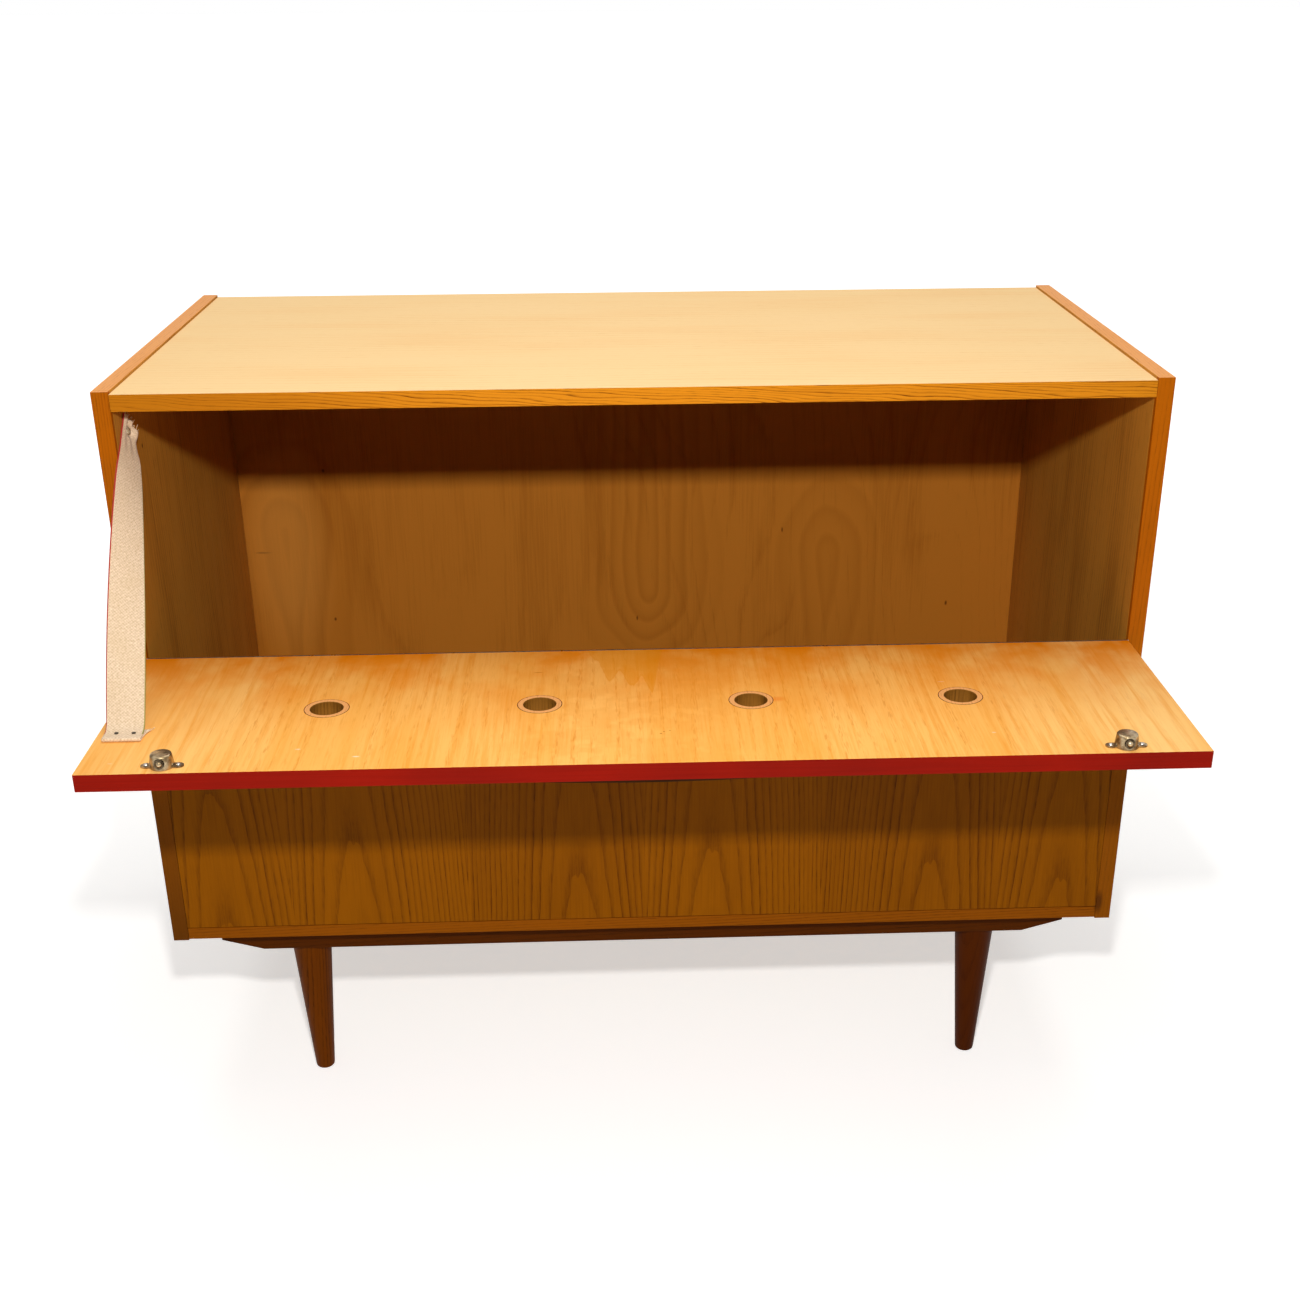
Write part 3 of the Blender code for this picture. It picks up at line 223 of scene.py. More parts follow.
# %% Mix the tones
def timber(name, axes, colours, pith, ring_mm, rise=0.04, sway_mm=5, sway_size=(60, 350),
           season=RING_POROUS, contrast=0.6, fibre_share=0.25, pore_share=0.6, patches=0.25,
           roughness=0.45, leaf_mm=0, leaves=()):
    finish, tree, shader = new_finish(name)
    pale, dark, pore = (linear(hex_code) for hex_code in colours)
    place = add_node(tree, "TexCoord", output="Object")
    split = add_node(tree, "SeparateXYZ", {0: place}, output=None)
    across, depth, along = (split[axis] for axis in axes)
    if leaves:
        across, along, leaf_tone = open_leaves(tree, across, along, leaf_mm, leaves)
    grain = add_node(tree, "CombineXYZ", {0: across, 1: depth, 2: along})
    noises = grain_noises(tree, grain, sway_mm, sway_size)
    ring = year_rings(tree, across, depth, along, noises, pith, ring_mm, rise, season)
    pores = add_node(tree, "MapRange", {0: noises["pores"], 1: 0.52, 2: 0.62})
    pores = add_node(tree, "Math", {0: pores, 1: ring}, operation="MULTIPLY")
    share = add_node(tree, "Math", {0: ring, 1: contrast}, operation="MULTIPLY")
    for label, weight in (("fibre", fibre_share), ("patch", patches)):
        inputs = {0: noises[label], 1: 2 * weight, 2: -weight}
        swing = add_node(tree, "Math", inputs, operation="MULTIPLY_ADD")
        share = add_node(tree, "Math", {0: share, 1: swing})
    if leaves:
        share = add_node(tree, "Math", {0: share, 1: leaf_tone})
    tone = add_node(tree, "Mix", {0: share, 6: pale, 7: dark}, data_type="RGBA", output=2)
    open_pores = add_node(tree, "Math", {0: pores, 1: pore_share}, operation="MULTIPLY")
    tone = add_node(tree, "Mix", {0: open_pores, 6: tone, 7: pore}, data_type="RGBA", output=2)
    hollow = add_node(tree, "Math", {0: pores, 1: -1, 2: noises["fibre"]}, operation="MULTIPLY_ADD")
    bump = add_node(tree, "Bump", {"Height": hollow, "Strength": 0.25, "Distance": 0.15 * MM})
    gloss = {0: noises["patch"], 1: 0.3, 2: 0.7, 3: roughness - 0.05, 4: roughness + 0.05}
    gloss = add_node(tree, "MapRange", gloss)
    fill(shader, {"Base Color": tone, "Roughness": gloss, "Normal": bump, "Specular IOR Level": SATIN_SHINE})
    return SimpleNamespace(finish=finish, tree=tree, shader=shader, tone=tone, place=place, split=split)


print("timber() is ready")

# %% [markdown]
# ## The fixed panel's veneer
# The fixed panel has crown-cut ash in six leaves, 186 mm to a leaf. The pith was 120 mm behind the leaf and
# the rings rise 20 mm in each metre, so every leaf has one tall, narrow peak. A leaf's two numbers are how
# far it was slid, in millimetres, and how much darker it came out.

# %% Make the fixed panel's veneer
LEAF_MM = 186
PANEL_LEAVES = ((21, 0.0), (116, 0.0), (71, 0.16), (97, 0.06), (77, 0.2), (52, 0.12))
panel_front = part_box("lower_front_panel")[0].y
ash_panel = timber("crown_cut_ash_veneer", "XYZ", ("864B00", "552800", "341600"),
                   (0.069, panel_front + 0.12), 3.1, rise=0.0205, sway_mm=2, sway_size=(40, 150),
                   contrast=0.75, fibre_share=0.3, patches=0.3, leaf_mm=LEAF_MM, leaves=PANEL_LEAVES)
print("made", ash_panel.finish.name)

# %% [markdown]
# ## The other woods
# The lippings are strips of solid ash. The top is paler, the inside is browner, and the back is birch peeled
# from the log in one wide sheet, so its figure wanders. Rails and legs are stained beech.

# %% Make the ash
ash_lipping_upright = timber("solid_ash_lipping_upright", "XYZ", ("AE5A04", "804002", "582A00"), (0.9, 0.4),
                             2.6, rise=0.02, sway_mm=4)
ash_lipping_level = timber("solid_ash_lipping_level", "ZYX", ("D28418", "864402", "542600"), (0.62, -0.16),
                           2.7, rise=0.06, sway_mm=6, sway_size=(12, 90), contrast=1.1,
                           pore_share=0.9, patches=0.6)
ash_bottom_lipping = timber("solid_ash_bottom_lipping", "ZYX", ("854602", "603000", "3E1C00"), (0.9, 0.4),
                            2.8, rise=0.03, sway_mm=4)
ash_top = timber("pale_ash_veneer_top", "YZX", ("FFD89C", "FAC584", "DEA660"), (-1.2, 0.3), 9, rise=0.02,
                 sway_mm=14, contrast=0.35, fibre_share=0.35, pore_share=0.35, patches=0.6, roughness=0.6)
ash_side_top = timber("reddish_ash_edge_strip", "XZY", ("F1A65E", "D68442", "B06628"), (1.5, 0.3), 3,
                      contrast=0.4)
SIDE_LEAVES = ((64, 0.1), (0, 0.0), (52, 0.05), (21, 0.0))
ash_outside = {}
for side, pith_x in (("left", -0.38), ("right", 0.38)):
    ash_outside[side] = timber("crown_cut_ash_veneer_" + side, "YXZ", ("A45E0C", "6C3804", "442000"),
                               (0.07, pith_x), 3.4, rise=0.0215, sway_mm=3, sway_size=(40, 150), contrast=0.7,
                               fibre_share=0.3, patches=0.3, leaf_mm=162, leaves=SIDE_LEAVES)
print("made", ash_top.finish.name, "and the other ash finishes")

# %% Make the inside, the back and the underside
brown_inside = timber("brown_veneer_inside", "YXZ", ("C88932", "965C1C", "6A3E0E"), (-2, 0.3), 7, sway_mm=8,
                      season=DIFFUSE_POROUS, contrast=0.4, fibre_share=0.7, pore_share=0.4, patches=0.8)
brown_inside_flat = timber("brown_veneer_inside_flat", "YZX", ("A06420", "784610", "562C06"), (-2, 0.3), 8,
                           sway_mm=8, contrast=0.4, pore_share=0.4)
birch_back = timber("rotary_cut_birch_back", "XYZ", ("C27826", "8C4C0A", "6C3606"), (-0.4, 1.2), 13,
                    rise=0.03, sway_mm=120, sway_size=(150, 420), season=PEELED, contrast=0.22,
                    fibre_share=0.3, pore_share=0.1, patches=0.5)
birch_rear = timber("raw_birch_rear", "XYZ", ("C79A62", "A97B45", "7E5830"), (0.4, 1.2), 14, rise=0.03,
                    sway_mm=110, sway_size=(160, 420), season=PEELED, contrast=0.4, pore_share=0.2,
                    patches=0.4, roughness=0.7)
pine_under = timber("raw_pine_underside", "YZX", ("C59A60", "9F7240", "7A522A"), (-0.8, 0.3), 8, sway_mm=8,
                    contrast=0.5, pore_share=0.2, roughness=0.7)
print("made", birch_back.finish.name, "and its neighbours")

# %% Make the woods of the legs and the flap
stained_leg = timber("stained_beech_leg", "XYZ", ("663000", "3A1800", "220C00"), (0.9, 0.7), 4, rise=0.03,
                     contrast=0.6, pore_share=0.8, patches=0.7)
stained_rail = timber("stained_beech_rail", "ZYX", ("4A2000", "331500", "200C00"), (0.9, 0.5), 4,
                      contrast=0.5)
# The handle's dark brown is the shade it sits in under the flap, painted into its colour.
dark_handle = timber("dark_handle_painted_shade", "ZYX", ("3E2208", "261204", "180A02"), (0.9, 0.5), 3,
                     contrast=0.5)
ring_rim = timber("turned_beech_ring_rim", "XZY", ("EEA865", "CE8A4A", "9C5A28"), (1.3, 0.2), 3, contrast=0.3)
ring_bore = timber("soiled_beech_ring_bore", "XYZ", ("7E5018", "523008", "341C04"), (1.3, 0.2), 3,
                   contrast=0.6, fibre_share=0.6, roughness=0.6)
tongue_birch = timber("birch_plywood_tongue", "XYZ", ("CFA468", "B58548", "8C6030"), (0.6, 0.4), 5)
flap_inside = timber("birch_veneer_flap_inside", "XZY", ("FCBB62", "EF9E3E", "C87218"), (0.9, 0.9), 11,
                     rise=0.02, sway_mm=16, sway_size=(70, 420), season=DIFFUSE_POROUS, contrast=0.35,
                     fibre_share=0.8, pore_share=0.5, patches=0.5, roughness=0.5)
print("made", len(bpy.data.materials), "materials")

# %% [markdown]
# ## Small marks
# Old wood has specks: pin knots in the back, crumbs of paint on the flap, a hole left by an older screw. Each
# is a spot with a place and its half sizes in millimetres, and a stain is mixed over the wood's own tone
# there.


# %% Add specks to the back, the side and the flap
def tint(wood, share, stain):
    mixed = {0: share, 6: wood.tone, 7: linear(stain)}
    wood.tone = add_node(wood.tree, "Mix", mixed, data_type="RGBA", output=2)
    fill(wood.shader, {"Base Color": wood.tone})


def add_spots(wood, spots, stain, strength):
    for middle, half_sizes in spots:
        away = add_node(wood.tree, "VectorMath", {0: wood.place, 1: middle}, operation="SUBTRACT")
        sizes = tuple(size * MM for size in half_sizes)
        away = add_node(wood.tree, "VectorMath", {0: away, 1: sizes}, operation="DIVIDE")
        away = add_node(wood.tree, "VectorMath", {0: away}, operation="LENGTH", output="Value")
        share = add_node(wood.tree, "MapRange", {0: away, 1: 1.0, 2: 0.4, 3: 0.0, 4: strength})
        tint(wood, share, stain)


back_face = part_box("back_panel")[0].y
side_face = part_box("side_panel_left")[1].x
flap_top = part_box("flap_panel")[1].z
PIN_KNOTS = ((-0.380, 0.567, 2, 3), (-0.463, 0.463, 12, 1.5), (-0.382, 0.373, 2, 3), (0.003, 0.367, 1.5, 4),
             (0.187, 0.482, 1.5, 4), (0.401, 0.380, 2, 4))
knots = [((x, back_face, z), (wide, 9, tall)) for x, z, wide, tall in PIN_KNOTS]
add_spots(birch_back, knots, "4A2404", 0.75)
add_spots(brown_inside, [((side_face, -0.025, 0.706), (9, 2.5, 3))], "2A1404", 0.9)
PALE_SPECKS = ((-0.302, -0.332, 3, 1.5), (-0.25, -0.349, 4, 1.5), (0.3035, -0.327, 2.5, 1.5),
               (-0.457, -0.353, 2.5, 1.5), (0.278, -0.212, 4, 1))
ORANGE_SPECK = ((0.1215, -0.2445, 9, 7),)
DARK_SPECKS = ((0.0146, -0.311, 1.3, 1.3), (0.0118, -0.315, 1.5, 1.5), (0.0199, -0.309, 1.2, 1),
               (-0.1, -0.171, 6, 1.2))
FLAP_SPECKS = ((PALE_SPECKS, "FFE9C8", 0.8), (ORANGE_SPECK, "E8641C", 0.5), (DARK_SPECKS, "8A4A10", 0.8))
for specks, stain, strength in FLAP_SPECKS:
    placed = [((x, y, flap_top), (wide, long, 9)) for x, y, wide, long in specks]
    add_spots(flap_inside, placed, stain, strength)
print("specked", birch_back.finish.name, brown_inside.finish.name, flap_inside.finish.name)

# %% [markdown]
# ## Arches and cups in the back
# Where the knife that peeled the sheet met a swelling of the log, the rings close into an arch or a cup. Each
# is a set of rings round a point, drawn out up or down from it, that fades with distance. A soft noise makes
# them waver.

# %% Draw the arches and cups
tree, split = birch_back.tree, birch_back.split
waver = add_node(tree, "VectorMath", {0: birch_back.place, 1: (1 / 0.11, 1, 1 / 0.3)}, operation="MULTIPLY")
waver = add_node(tree, "TexNoise", {"Vector": waver, "Scale": 1, "Detail": 1.5})
CUPS_AND_ARCHES = ((0.020, 0.406, -1, 20, 0.28), (-0.434, 0.490, 1, 28, 0.34), (0.245, 0.450, 1, 24, 0.2))
CUP_STRETCH, CUP_WAVER = 1.5, 0.07
CUP_FADES = (0.13, 0.08)
for x, z, up, cup_ring_mm, strength in CUPS_AND_ARCHES:
    beside = add_node(tree, "Math", {0: split["X"], 1: x}, operation="SUBTRACT")
    beyond = add_node(tree, "Math", {0: split["Z"], 1: up, 2: -z * up}, operation="MULTIPLY_ADD")
    beyond = add_node(tree, "Math", {0: beyond, 1: 0.0}, operation="MAXIMUM")
    beyond = add_node(tree, "Math", {0: beyond, 1: CUP_STRETCH}, operation="DIVIDE")
    outwards = add_node(tree, "CombineXYZ", {0: beside, 1: beyond})
    outwards = add_node(tree, "VectorMath", {0: outwards}, operation="LENGTH", output="Value")
    outwards = add_node(tree, "Math", {0: waver, 1: CUP_WAVER, 2: outwards}, operation="MULTIPLY_ADD")
    rings = add_node(tree, "Math", {0: outwards, 1: cup_ring_mm * MM}, operation="DIVIDE")
    rings = add_node(tree, "Math", {0: rings}, operation="FRACT")
    rings = add_node(tree, "ValToRGB", {0: rings}, DIFFUSE_POROUS)
    gone, full = CUP_FADES
    faint = add_node(tree, "MapRange", {0: outwards, 1: gone, 2: full, 3: 0.0, 4: strength})
    rings = add_node(tree, "Math", {0: rings, 1: faint}, operation="MULTIPLY")
    tint(birch_back, rings, "8A4A0A")
add_spots(birch_back, [((-0.435, back_face, 0.460), (62, 9, 170))], "E09A44", 0.4)
print("drew", len(CUPS_AND_ARCHES), "arches and cups")

# %% [markdown]
# ## Painted shade below the flap, and darker wood
# Just below the flap the upright lippings get painted shade, where the flap's shadow falls, over a darker
# tone of their own. Lower down the left one is darker still, most of all at the left foot. The top's lipping
# is darker at its left end, and the right leg is darker than the left. Each of these is a tint that grows
# along an axis, from the lightest place to the darkest one. The right foot has a small smudge.

# %% Darken the lippings and a leg
# The first row is painted shade under the flap, over the lippings' own darker tone.
GRADED = ((ash_lipping_upright, {"Z": (0.52, 0.36)}, 0.72, "683A02"),
          (ash_lipping_upright, {"Z": (0.4, 0.2), "X": (0.1, -0.1)}, 0.55, "2E1602"),
          (ash_lipping_level, {"X": (-0.15, -0.4)}, 0.5, "9A5406"),
          (stained_leg, {"X": (-0.1, 0.1)}, 0.75, "3A1200"))
for wood, spans, share, stain in GRADED:
    for axis, (lightest, darkest) in spans.items():
        ramp = add_node(wood.tree, "MapRange", {0: wood.split[axis], 1: lightest, 2: darkest})
        share = add_node(wood.tree, "Math", {0: ramp, 1: share}, operation="MULTIPLY")
    tint(wood, share, stain)
right_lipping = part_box("side_lipping_right")[0]
smudge = (right_lipping.x + 0.002, right_lipping.y, right_lipping.z + 0.02)
for wood in (ash_lipping_upright, ash_bottom_lipping):
    add_spots(wood, [(smudge, (6, 9, 17))], "3A1A04", 0.7)
print("darkened", ash_lipping_upright.finish.name, ash_lipping_level.finish.name, stained_leg.finish.name)

# %% [markdown]
# ## Stains on the flap
# The flap served as a bar top, and spilt drinks have soaked in. Its veneer is faded at both ends, streaked
# and banded along the grain, and orange in clouds towards the hinge. Each kind of stain follows a noise of
# its own size, or the distance from the middle, and is mixed over the wood in turn.

# %% Soak the flap's inside
flap_low, flap_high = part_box("flap_panel")
tree, split = flap_inside.tree, flap_inside.split
marks = {}
MARK_SIZES = (("cloud", (55, 80), 4), ("tide", (40, 32), 3), ("streak", (4, 110), 4), ("band", (45, 500), 2))
for label, (wide_mm, long_mm), detail in MARK_SIZES:
    stretch = (1 / (wide_mm * MM), 1 / (long_mm * MM), 1)
    vector = add_node(tree, "VectorMath", {0: flap_inside.place, 1: stretch}, operation="MULTIPLY")
    marks[label] = add_node(tree, "TexNoise", {"Vector": vector, "Scale": 1, "Detail": detail})
STAIN_MIDDLE = -0.017
from_middle = add_node(tree, "Math", {0: split["X"], 1: STAIN_MIDDLE}, operation="SUBTRACT")
from_middle = add_node(tree, "Math", {0: from_middle}, operation="ABSOLUTE")
outside = add_node(tree, "MapRange", {0: from_middle, 1: 0.05, 2: 0.13, 3: 0.2, 4: 1.0})
rear = add_node(tree, "MapRange", {0: split["Y"], 1: flap_low.y + 0.05, 2: flap_high.y})
rear = add_node(tree, "Math", {0: rear, 1: 1.3}, operation="POWER")
STAINS = ((from_middle, (0.3, 0.45), (0.0, 0.45), 1.0, "FFD890"),
          (marks["streak"], (0.5, 0.75), (0.0, 0.6), outside, "E8922C"),
          (marks["band"], (0.45, 0.7), (0.0, 0.45), 1.0, "F0A036"),
          (marks["cloud"], (0.4, 0.6), (0.32, 1.0), rear, "EC8204"))
for source, (start, full), (least, most), where, stain in STAINS:
    share = add_node(tree, "MapRange", {0: source, 1: start, 2: full, 3: least, 4: most})
    share = add_node(tree, "Math", {0: share, 1: where}, operation="MULTIPLY")
    tint(flap_inside, share, stain)
print("soaked", flap_inside.finish.name)

# %% [markdown]
# ## Tide marks, drips and glue
# A washed patch lies in the middle of the flap, and its water dried in tide marks: rims drawn where a soft
# noise passes one value. Drips run out from the hinge. A cosine spaces them evenly, they get longer to the
# right, and each has a darker rim. Last, a thin glue line runs round each turned ring. The four rings are
# evenly spaced, so folding X like a paper strip brings them all to one place.

# %% Add the tide marks and the drips
washed = add_node(tree, "MapRange", {0: from_middle, 1: 0.13, 2: 0.06})
TIDE_MARK = ((0.41, 0.0), (0.72, 0.2), (0.49, 0.7), (0.58, 0.5))
TIDE_STRENGTH = 0.32
tide = add_node(tree, "ValToRGB", {0: marks["tide"]}, TIDE_MARK)
tide = add_node(tree, "Math", {0: tide, 1: washed}, operation="MULTIPLY")
tide = add_node(tree, "Math", {0: tide, 1: TIDE_STRENGTH}, operation="MULTIPLY")
tint(flap_inside, tide, "E08A2A")
DRIP_SPACING, FIRST_DRIP = 0.0203, -0.0324
DRIP_SWING, DRIP_LENGTH = 0.016, 0.079
DRIP_LEAN, DRIP_RAGGED = 0.8, 0.02
turns = 2 * math.pi / DRIP_SPACING
swing = add_node(tree, "Math", {0: split["X"], 1: turns, 2: -FIRST_DRIP * turns}, operation="MULTIPLY_ADD")
swing = add_node(tree, "Math", {0: swing}, operation="COSINE")
drip_reach = DRIP_LENGTH
for uneven, share in ((swing, DRIP_SWING), (split["X"], DRIP_LEAN), (marks["streak"], DRIP_RAGGED)):
    drip_reach = add_node(tree, "Math", {0: uneven, 1: share, 2: drip_reach}, operation="MULTIPLY_ADD")
drip_place = add_node(tree, "MapRange", {0: from_middle, 1: 0.037, 2: 0.024})
drip_reach = add_node(tree, "Math", {0: drip_reach, 1: drip_place}, operation="MULTIPLY")
from_hinge = add_node(tree, "Math", {0: flap_high.y, 1: split["Y"]}, operation="SUBTRACT")
inside_drip = add_node(tree, "Math", {0: drip_reach, 1: from_hinge}, operation="SUBTRACT")
inside_drip = add_node(tree, "MapRange", {0: inside_drip, 1: 0.0, 2: 0.02})
DRIED_RIM = ((0, 0.0), (1, 0.6), (0.2, 0.62), (0.45, 0.46))
drips = add_node(tree, "ValToRGB", {0: inside_drip}, DRIED_RIM)
tint(flap_inside, drips, "E68A0C")
print("dripped on", flap_inside.finish.name)

# %% Draw the glue lines
RING_SPACING = 0.1932
ring_low, ring_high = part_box("vent_ring_1")
folded = add_node(tree, "Math", {0: split["X"], 1: RING_SPACING}, operation="PINGPONG")
folded = add_node(tree, "CombineXYZ", {0: folded, 1: split["Y"]})
ring_middle = (RING_SPACING / 2, (ring_low.y + ring_high.y) / 2, 0)
from_ring = add_node(tree, "VectorMath", {0: folded, 1: ring_middle}, operation="DISTANCE", output="Value")
GLUE_LINE = 0.8 * MM
ring_edge = (ring_high.x - ring_low.x) / 2
glue = add_node(tree, "MapRange", {0: from_ring, 1: ring_edge + GLUE_LINE, 2: ring_edge + GLUE_LINE / 2})
within = add_node(tree, "Math", {0: from_middle, 1: 2 * RING_SPACING}, operation="LESS_THAN")
glue = add_node(tree, "Math", {0: glue, 1: within}, operation="MULTIPLY")
tint(flap_inside, glue, "8A4818")
print("glued", round(ring_edge * 2000, 1), "mm rings in", flap_inside.finish.name)

# %% [markdown]
# ## Red lacquer
# The flap's outside and edges are brushed with a red nitrocellulose lacquer. It is a smooth film with faint
# brush marks along the length, and its colour is a little uneven.

# %% Make the red lacquer
red_lacquer, tree, shader = new_finish("brushed_red_lacquer")
place = add_node(tree, "TexCoord", output="Object")
BRUSH_MARK = (1 / 0.09, 1 / 0.0015, 1 / 0.0015)
streaks = add_node(tree, "VectorMath", {0: place, 1: BRUSH_MARK}, operation="MULTIPLY")
streaks = add_node(tree, "TexNoise", {"Vector": streaks, "Scale": 1, "Detail": 2})
clouds = add_node(tree, "TexNoise", {"Vector": place, "Scale": 1 / 0.12, "Detail": 2})
mixed = add_node(tree, "Math", {0: streaks, 1: 0.5, 2: clouds}, operation="MULTIPLY_ADD")
mixed = add_node(tree, "MapRange", {0: mixed, 1: 0.5, 2: 1.0})
red = add_node(tree, "Mix", {0: mixed, 6: linear("760B00"), 7: linear("8A1102")}, data_type="RGBA", output=2)
brushed = add_node(tree, "Bump", {"Height": streaks, "Strength": 0.2, "Distance": 0.1 * MM})
film = add_node(tree, "MapRange", {0: clouds, 1: 0.3, 2: 0.7, 3: 0.32, 4: 0.42})
LACQUER_SHINE = 0.04
fill(shader, {"Base Color": red, "Roughness": film, "Normal": brushed, "Specular IOR Level": LACQUER_SHINE})
print("made", red_lacquer.name)

# %% [markdown]
# ## Metals
# The ball catches are pressed from thin sheet and nickel-plated. The plating is coloured warm, dull and dark:
# partly wear from handling, partly a painted dark reflection. Their brass sleeves are coloured dark as
# painted shade round each ball. Screws are bright steel, the strap's own screw is dusty, its tacks are dull
# iron, and the piano hinge is plated. All get a fine smear of tarnish that changes their colour and
# roughness.


# %% Make the metal finishes
def worn_metal(name, bright, dull, roughness, smear_mm, bare=1.0):
    finish, tree, shader = new_finish(name)
    place = add_node(tree, "TexCoord", output="Object")
    smear = add_node(tree, "TexNoise", {"Vector": place, "Scale": 1 / (smear_mm * MM), "Detail": 4})
    shade = add_node(tree, "MapRange", {0: smear, 1: 0.35, 2: 0.65})
    mixed = {0: shade, 6: linear(bright), 7: linear(dull)}
    shade_colour = add_node(tree, "Mix", mixed, data_type="RGBA", output=2)
    polish = add_node(tree, "MapRange", {0: smear, 1: 0.3, 2: 0.7, 3: roughness - 0.08, 4: roughness + 0.1})
    fill(shader, {"Base Color": shade_colour, "Roughness": polish, "Metallic": bare})
    return finish


# The nickel's dark tones are a painted reflection of a dim room, over real wear.
nickel_worn_painted_dark = worn_metal("nickel_worn_and_painted_dark", "BBA684", "6A573C", 0.34, 5)
# The sleeve's dark colour is painted shade round each ball.
dark_sleeve = worn_metal("brass_sleeve_painted_shade", "5A4C3A", "33291D", 0.4, 3)
dusty_screw = worn_metal("dusty_round_headed_screw", "D6C6AA", "94805F", 0.5, 2, bare=0.5)
dull_tack = worn_metal("dull_iron_tack", "6A645A", "3C3832", 0.5, 2)
bright_steel = worn_metal("bright_steel", "C4BDB4", "9A928A", 0.34, 4)
hinge_steel = worn_metal("nickel_plated_hinge_steel", "C2BAB2", "968E86", 0.34, 12)
print("made", nickel_worn_painted_dark.name, bright_steel.name, hinge_steel.name)

# %% [markdown]
# ## Dressing the CAD boards
# A CAD node's mesh is loose triangles. Weld joins them, Decimate joins the flat ones into whole faces, and
# Bevel takes the sharp arris off, as a pass of sandpaper does. A board can show different veneers on its
# faces, so each triangle gets its finish by the way it faces.


# %% A way to dress a board
def dress(node_names, finishes, pick=None, arris_mm=0.6):
    for name in node_names:
        board = nodes[name]
        board.data.materials.clear()
        for finish in finishes:
            board.data.materials.append(finish)
        for face in board.data.polygons:
            face.material_index = pick(face) if pick else 0
        board.modifiers.new("weld", "WELD").merge_threshold = 0.01 * MM
        flat = board.modifiers.new("flat_faces", "DECIMATE")
        flat.decimate_type, flat.angle_limit, flat.delimit = "DISSOLVE", math.radians(0.5), {"MATERIAL"}
        arris = board.modifiers.new("arris", "BEVEL")
        arris.width, arris.segments, arris.limit_method = arris_mm * MM, 2, "ANGLE"
        arris.angle_limit, arris.use_clamp_overlap = math.radians(60), False


print("dress() is ready")


# %% Dress the boards
def nodes_named(*starts):
    return [name for name in nodes if name.startswith(starts)]


def faces_up(face):
    return int(face.normal.z > 0.9)


def faces_down(face):
    return int(face.normal.z < 0)


def inner_outer_top(face):
    if face.normal.z > 0.9 and face.center.z > 0.7:
        return 2
    return 1 if face.normal.x * face.center.x < 0 else 0


for side in ("left", "right"):
    side_finishes = [ash_outside[side].finish, brown_inside.finish, ash_side_top.finish]
    dress(["side_panel_" + side], side_finishes, inner_outer_top, 0.25)
dress(nodes_named("side_lipping"), [ash_lipping_upright.finish, ash_side_top.finish], faces_up, 0.25)
dress(["top_lipping"], [ash_lipping_level.finish, ash_top.finish], faces_up, 0.25)
dress(["top_panel"], [ash_top.finish, brown_inside_flat.finish], faces_down, 0.25)
dress(["bottom_lipping"], [ash_bottom_lipping.finish], None, 0.3)
dress(["bottom_panel"], [brown_inside_flat.finish, pine_under.finish], faces_down)
dress(["back_panel"], [birch_back.finish, birch_rear.finish], lambda face: int(face.normal.y > 0), 0.3)
panel_finishes = [ash_panel.finish, brown_inside.finish]
dress(["lower_front_panel"], panel_finishes, lambda face: int(face.normal.y > -0.5), 0.4)
dress(nodes_named("tongue_"), [tongue_birch.finish], None, 0.3)
dress(nodes_named("leg_rail"), [stained_rail.finish], None, 1.0)
dress(["flap_panel"], [red_lacquer, flap_inside.finish], faces_up, 0.5)
dress(["handle"], [dark_handle.finish], None, 1.0)
dress(nodes_named("handle_dowel"), [tongue_birch.finish], None, 0.2)
dress(nodes_named("strike_plate"), [nickel_worn_painted_dark], None, 0.25)
print("dressed the boards")

# %% [markdown]
# ## Dressing the turned and rolled pieces
# Legs, rings, catches, screws and the hinge's knuckles are round. Their facets are shaded smooth, and Edge
# Split keeps the real corners crisp.


# %% Dress round pieces
def dress_round(node_names, finish, corner=40):
    for name in node_names:
        piece = nodes[name]
        piece.data.materials.clear()
        piece.data.materials.append(finish)
        for face in piece.data.polygons:
            face.material_index, face.use_smooth = 0, True
        piece.modifiers.new("weld", "WELD").merge_threshold = 0.005 * MM
        piece.modifiers.new("corners", "EDGE_SPLIT").split_angle = math.radians(corner)


dress_round(nodes_named("leg_front", "leg_rear"), stained_leg.finish)
dress_round(nodes_named("vent_ring"), ring_bore.finish, 30)
dress_round(nodes_named("catch_case", "catch_ball", "catch_spring"), nickel_worn_painted_dark)
dress_round(nodes_named("catch_sleeve"), dark_sleeve)
dress_round(nodes_named("catch_screw", "rail_screw", "strike_screw"), bright_steel)
dress_round(["strap_screw"], dusty_screw)
dress_round(nodes_named("strap_tack"), dull_tack)
dress_round(nodes_named("hinge_"), hinge_steel)
for name in nodes_named("vent_ring"):
    nodes[name].data.materials.append(ring_rim.finish)
    for face in nodes[name].data.polygons:
        face.material_index = int(abs(face.normal.z) > 0.9)
print("dressed the round pieces")

# %% [markdown]
# ## Cotton webbing
# The strap is woven cotton tape, 34 mm wide, with a coloured thread in each selvedge. Weft threads pass over
# and under the warp, which leaves a fine chequer of bumps. The real threads are 0.8 mm apart, and they are
# drawn 1.5 mm apart, so that the picture shows them. The pattern follows the tape's own UV map, whose units
# are metres.

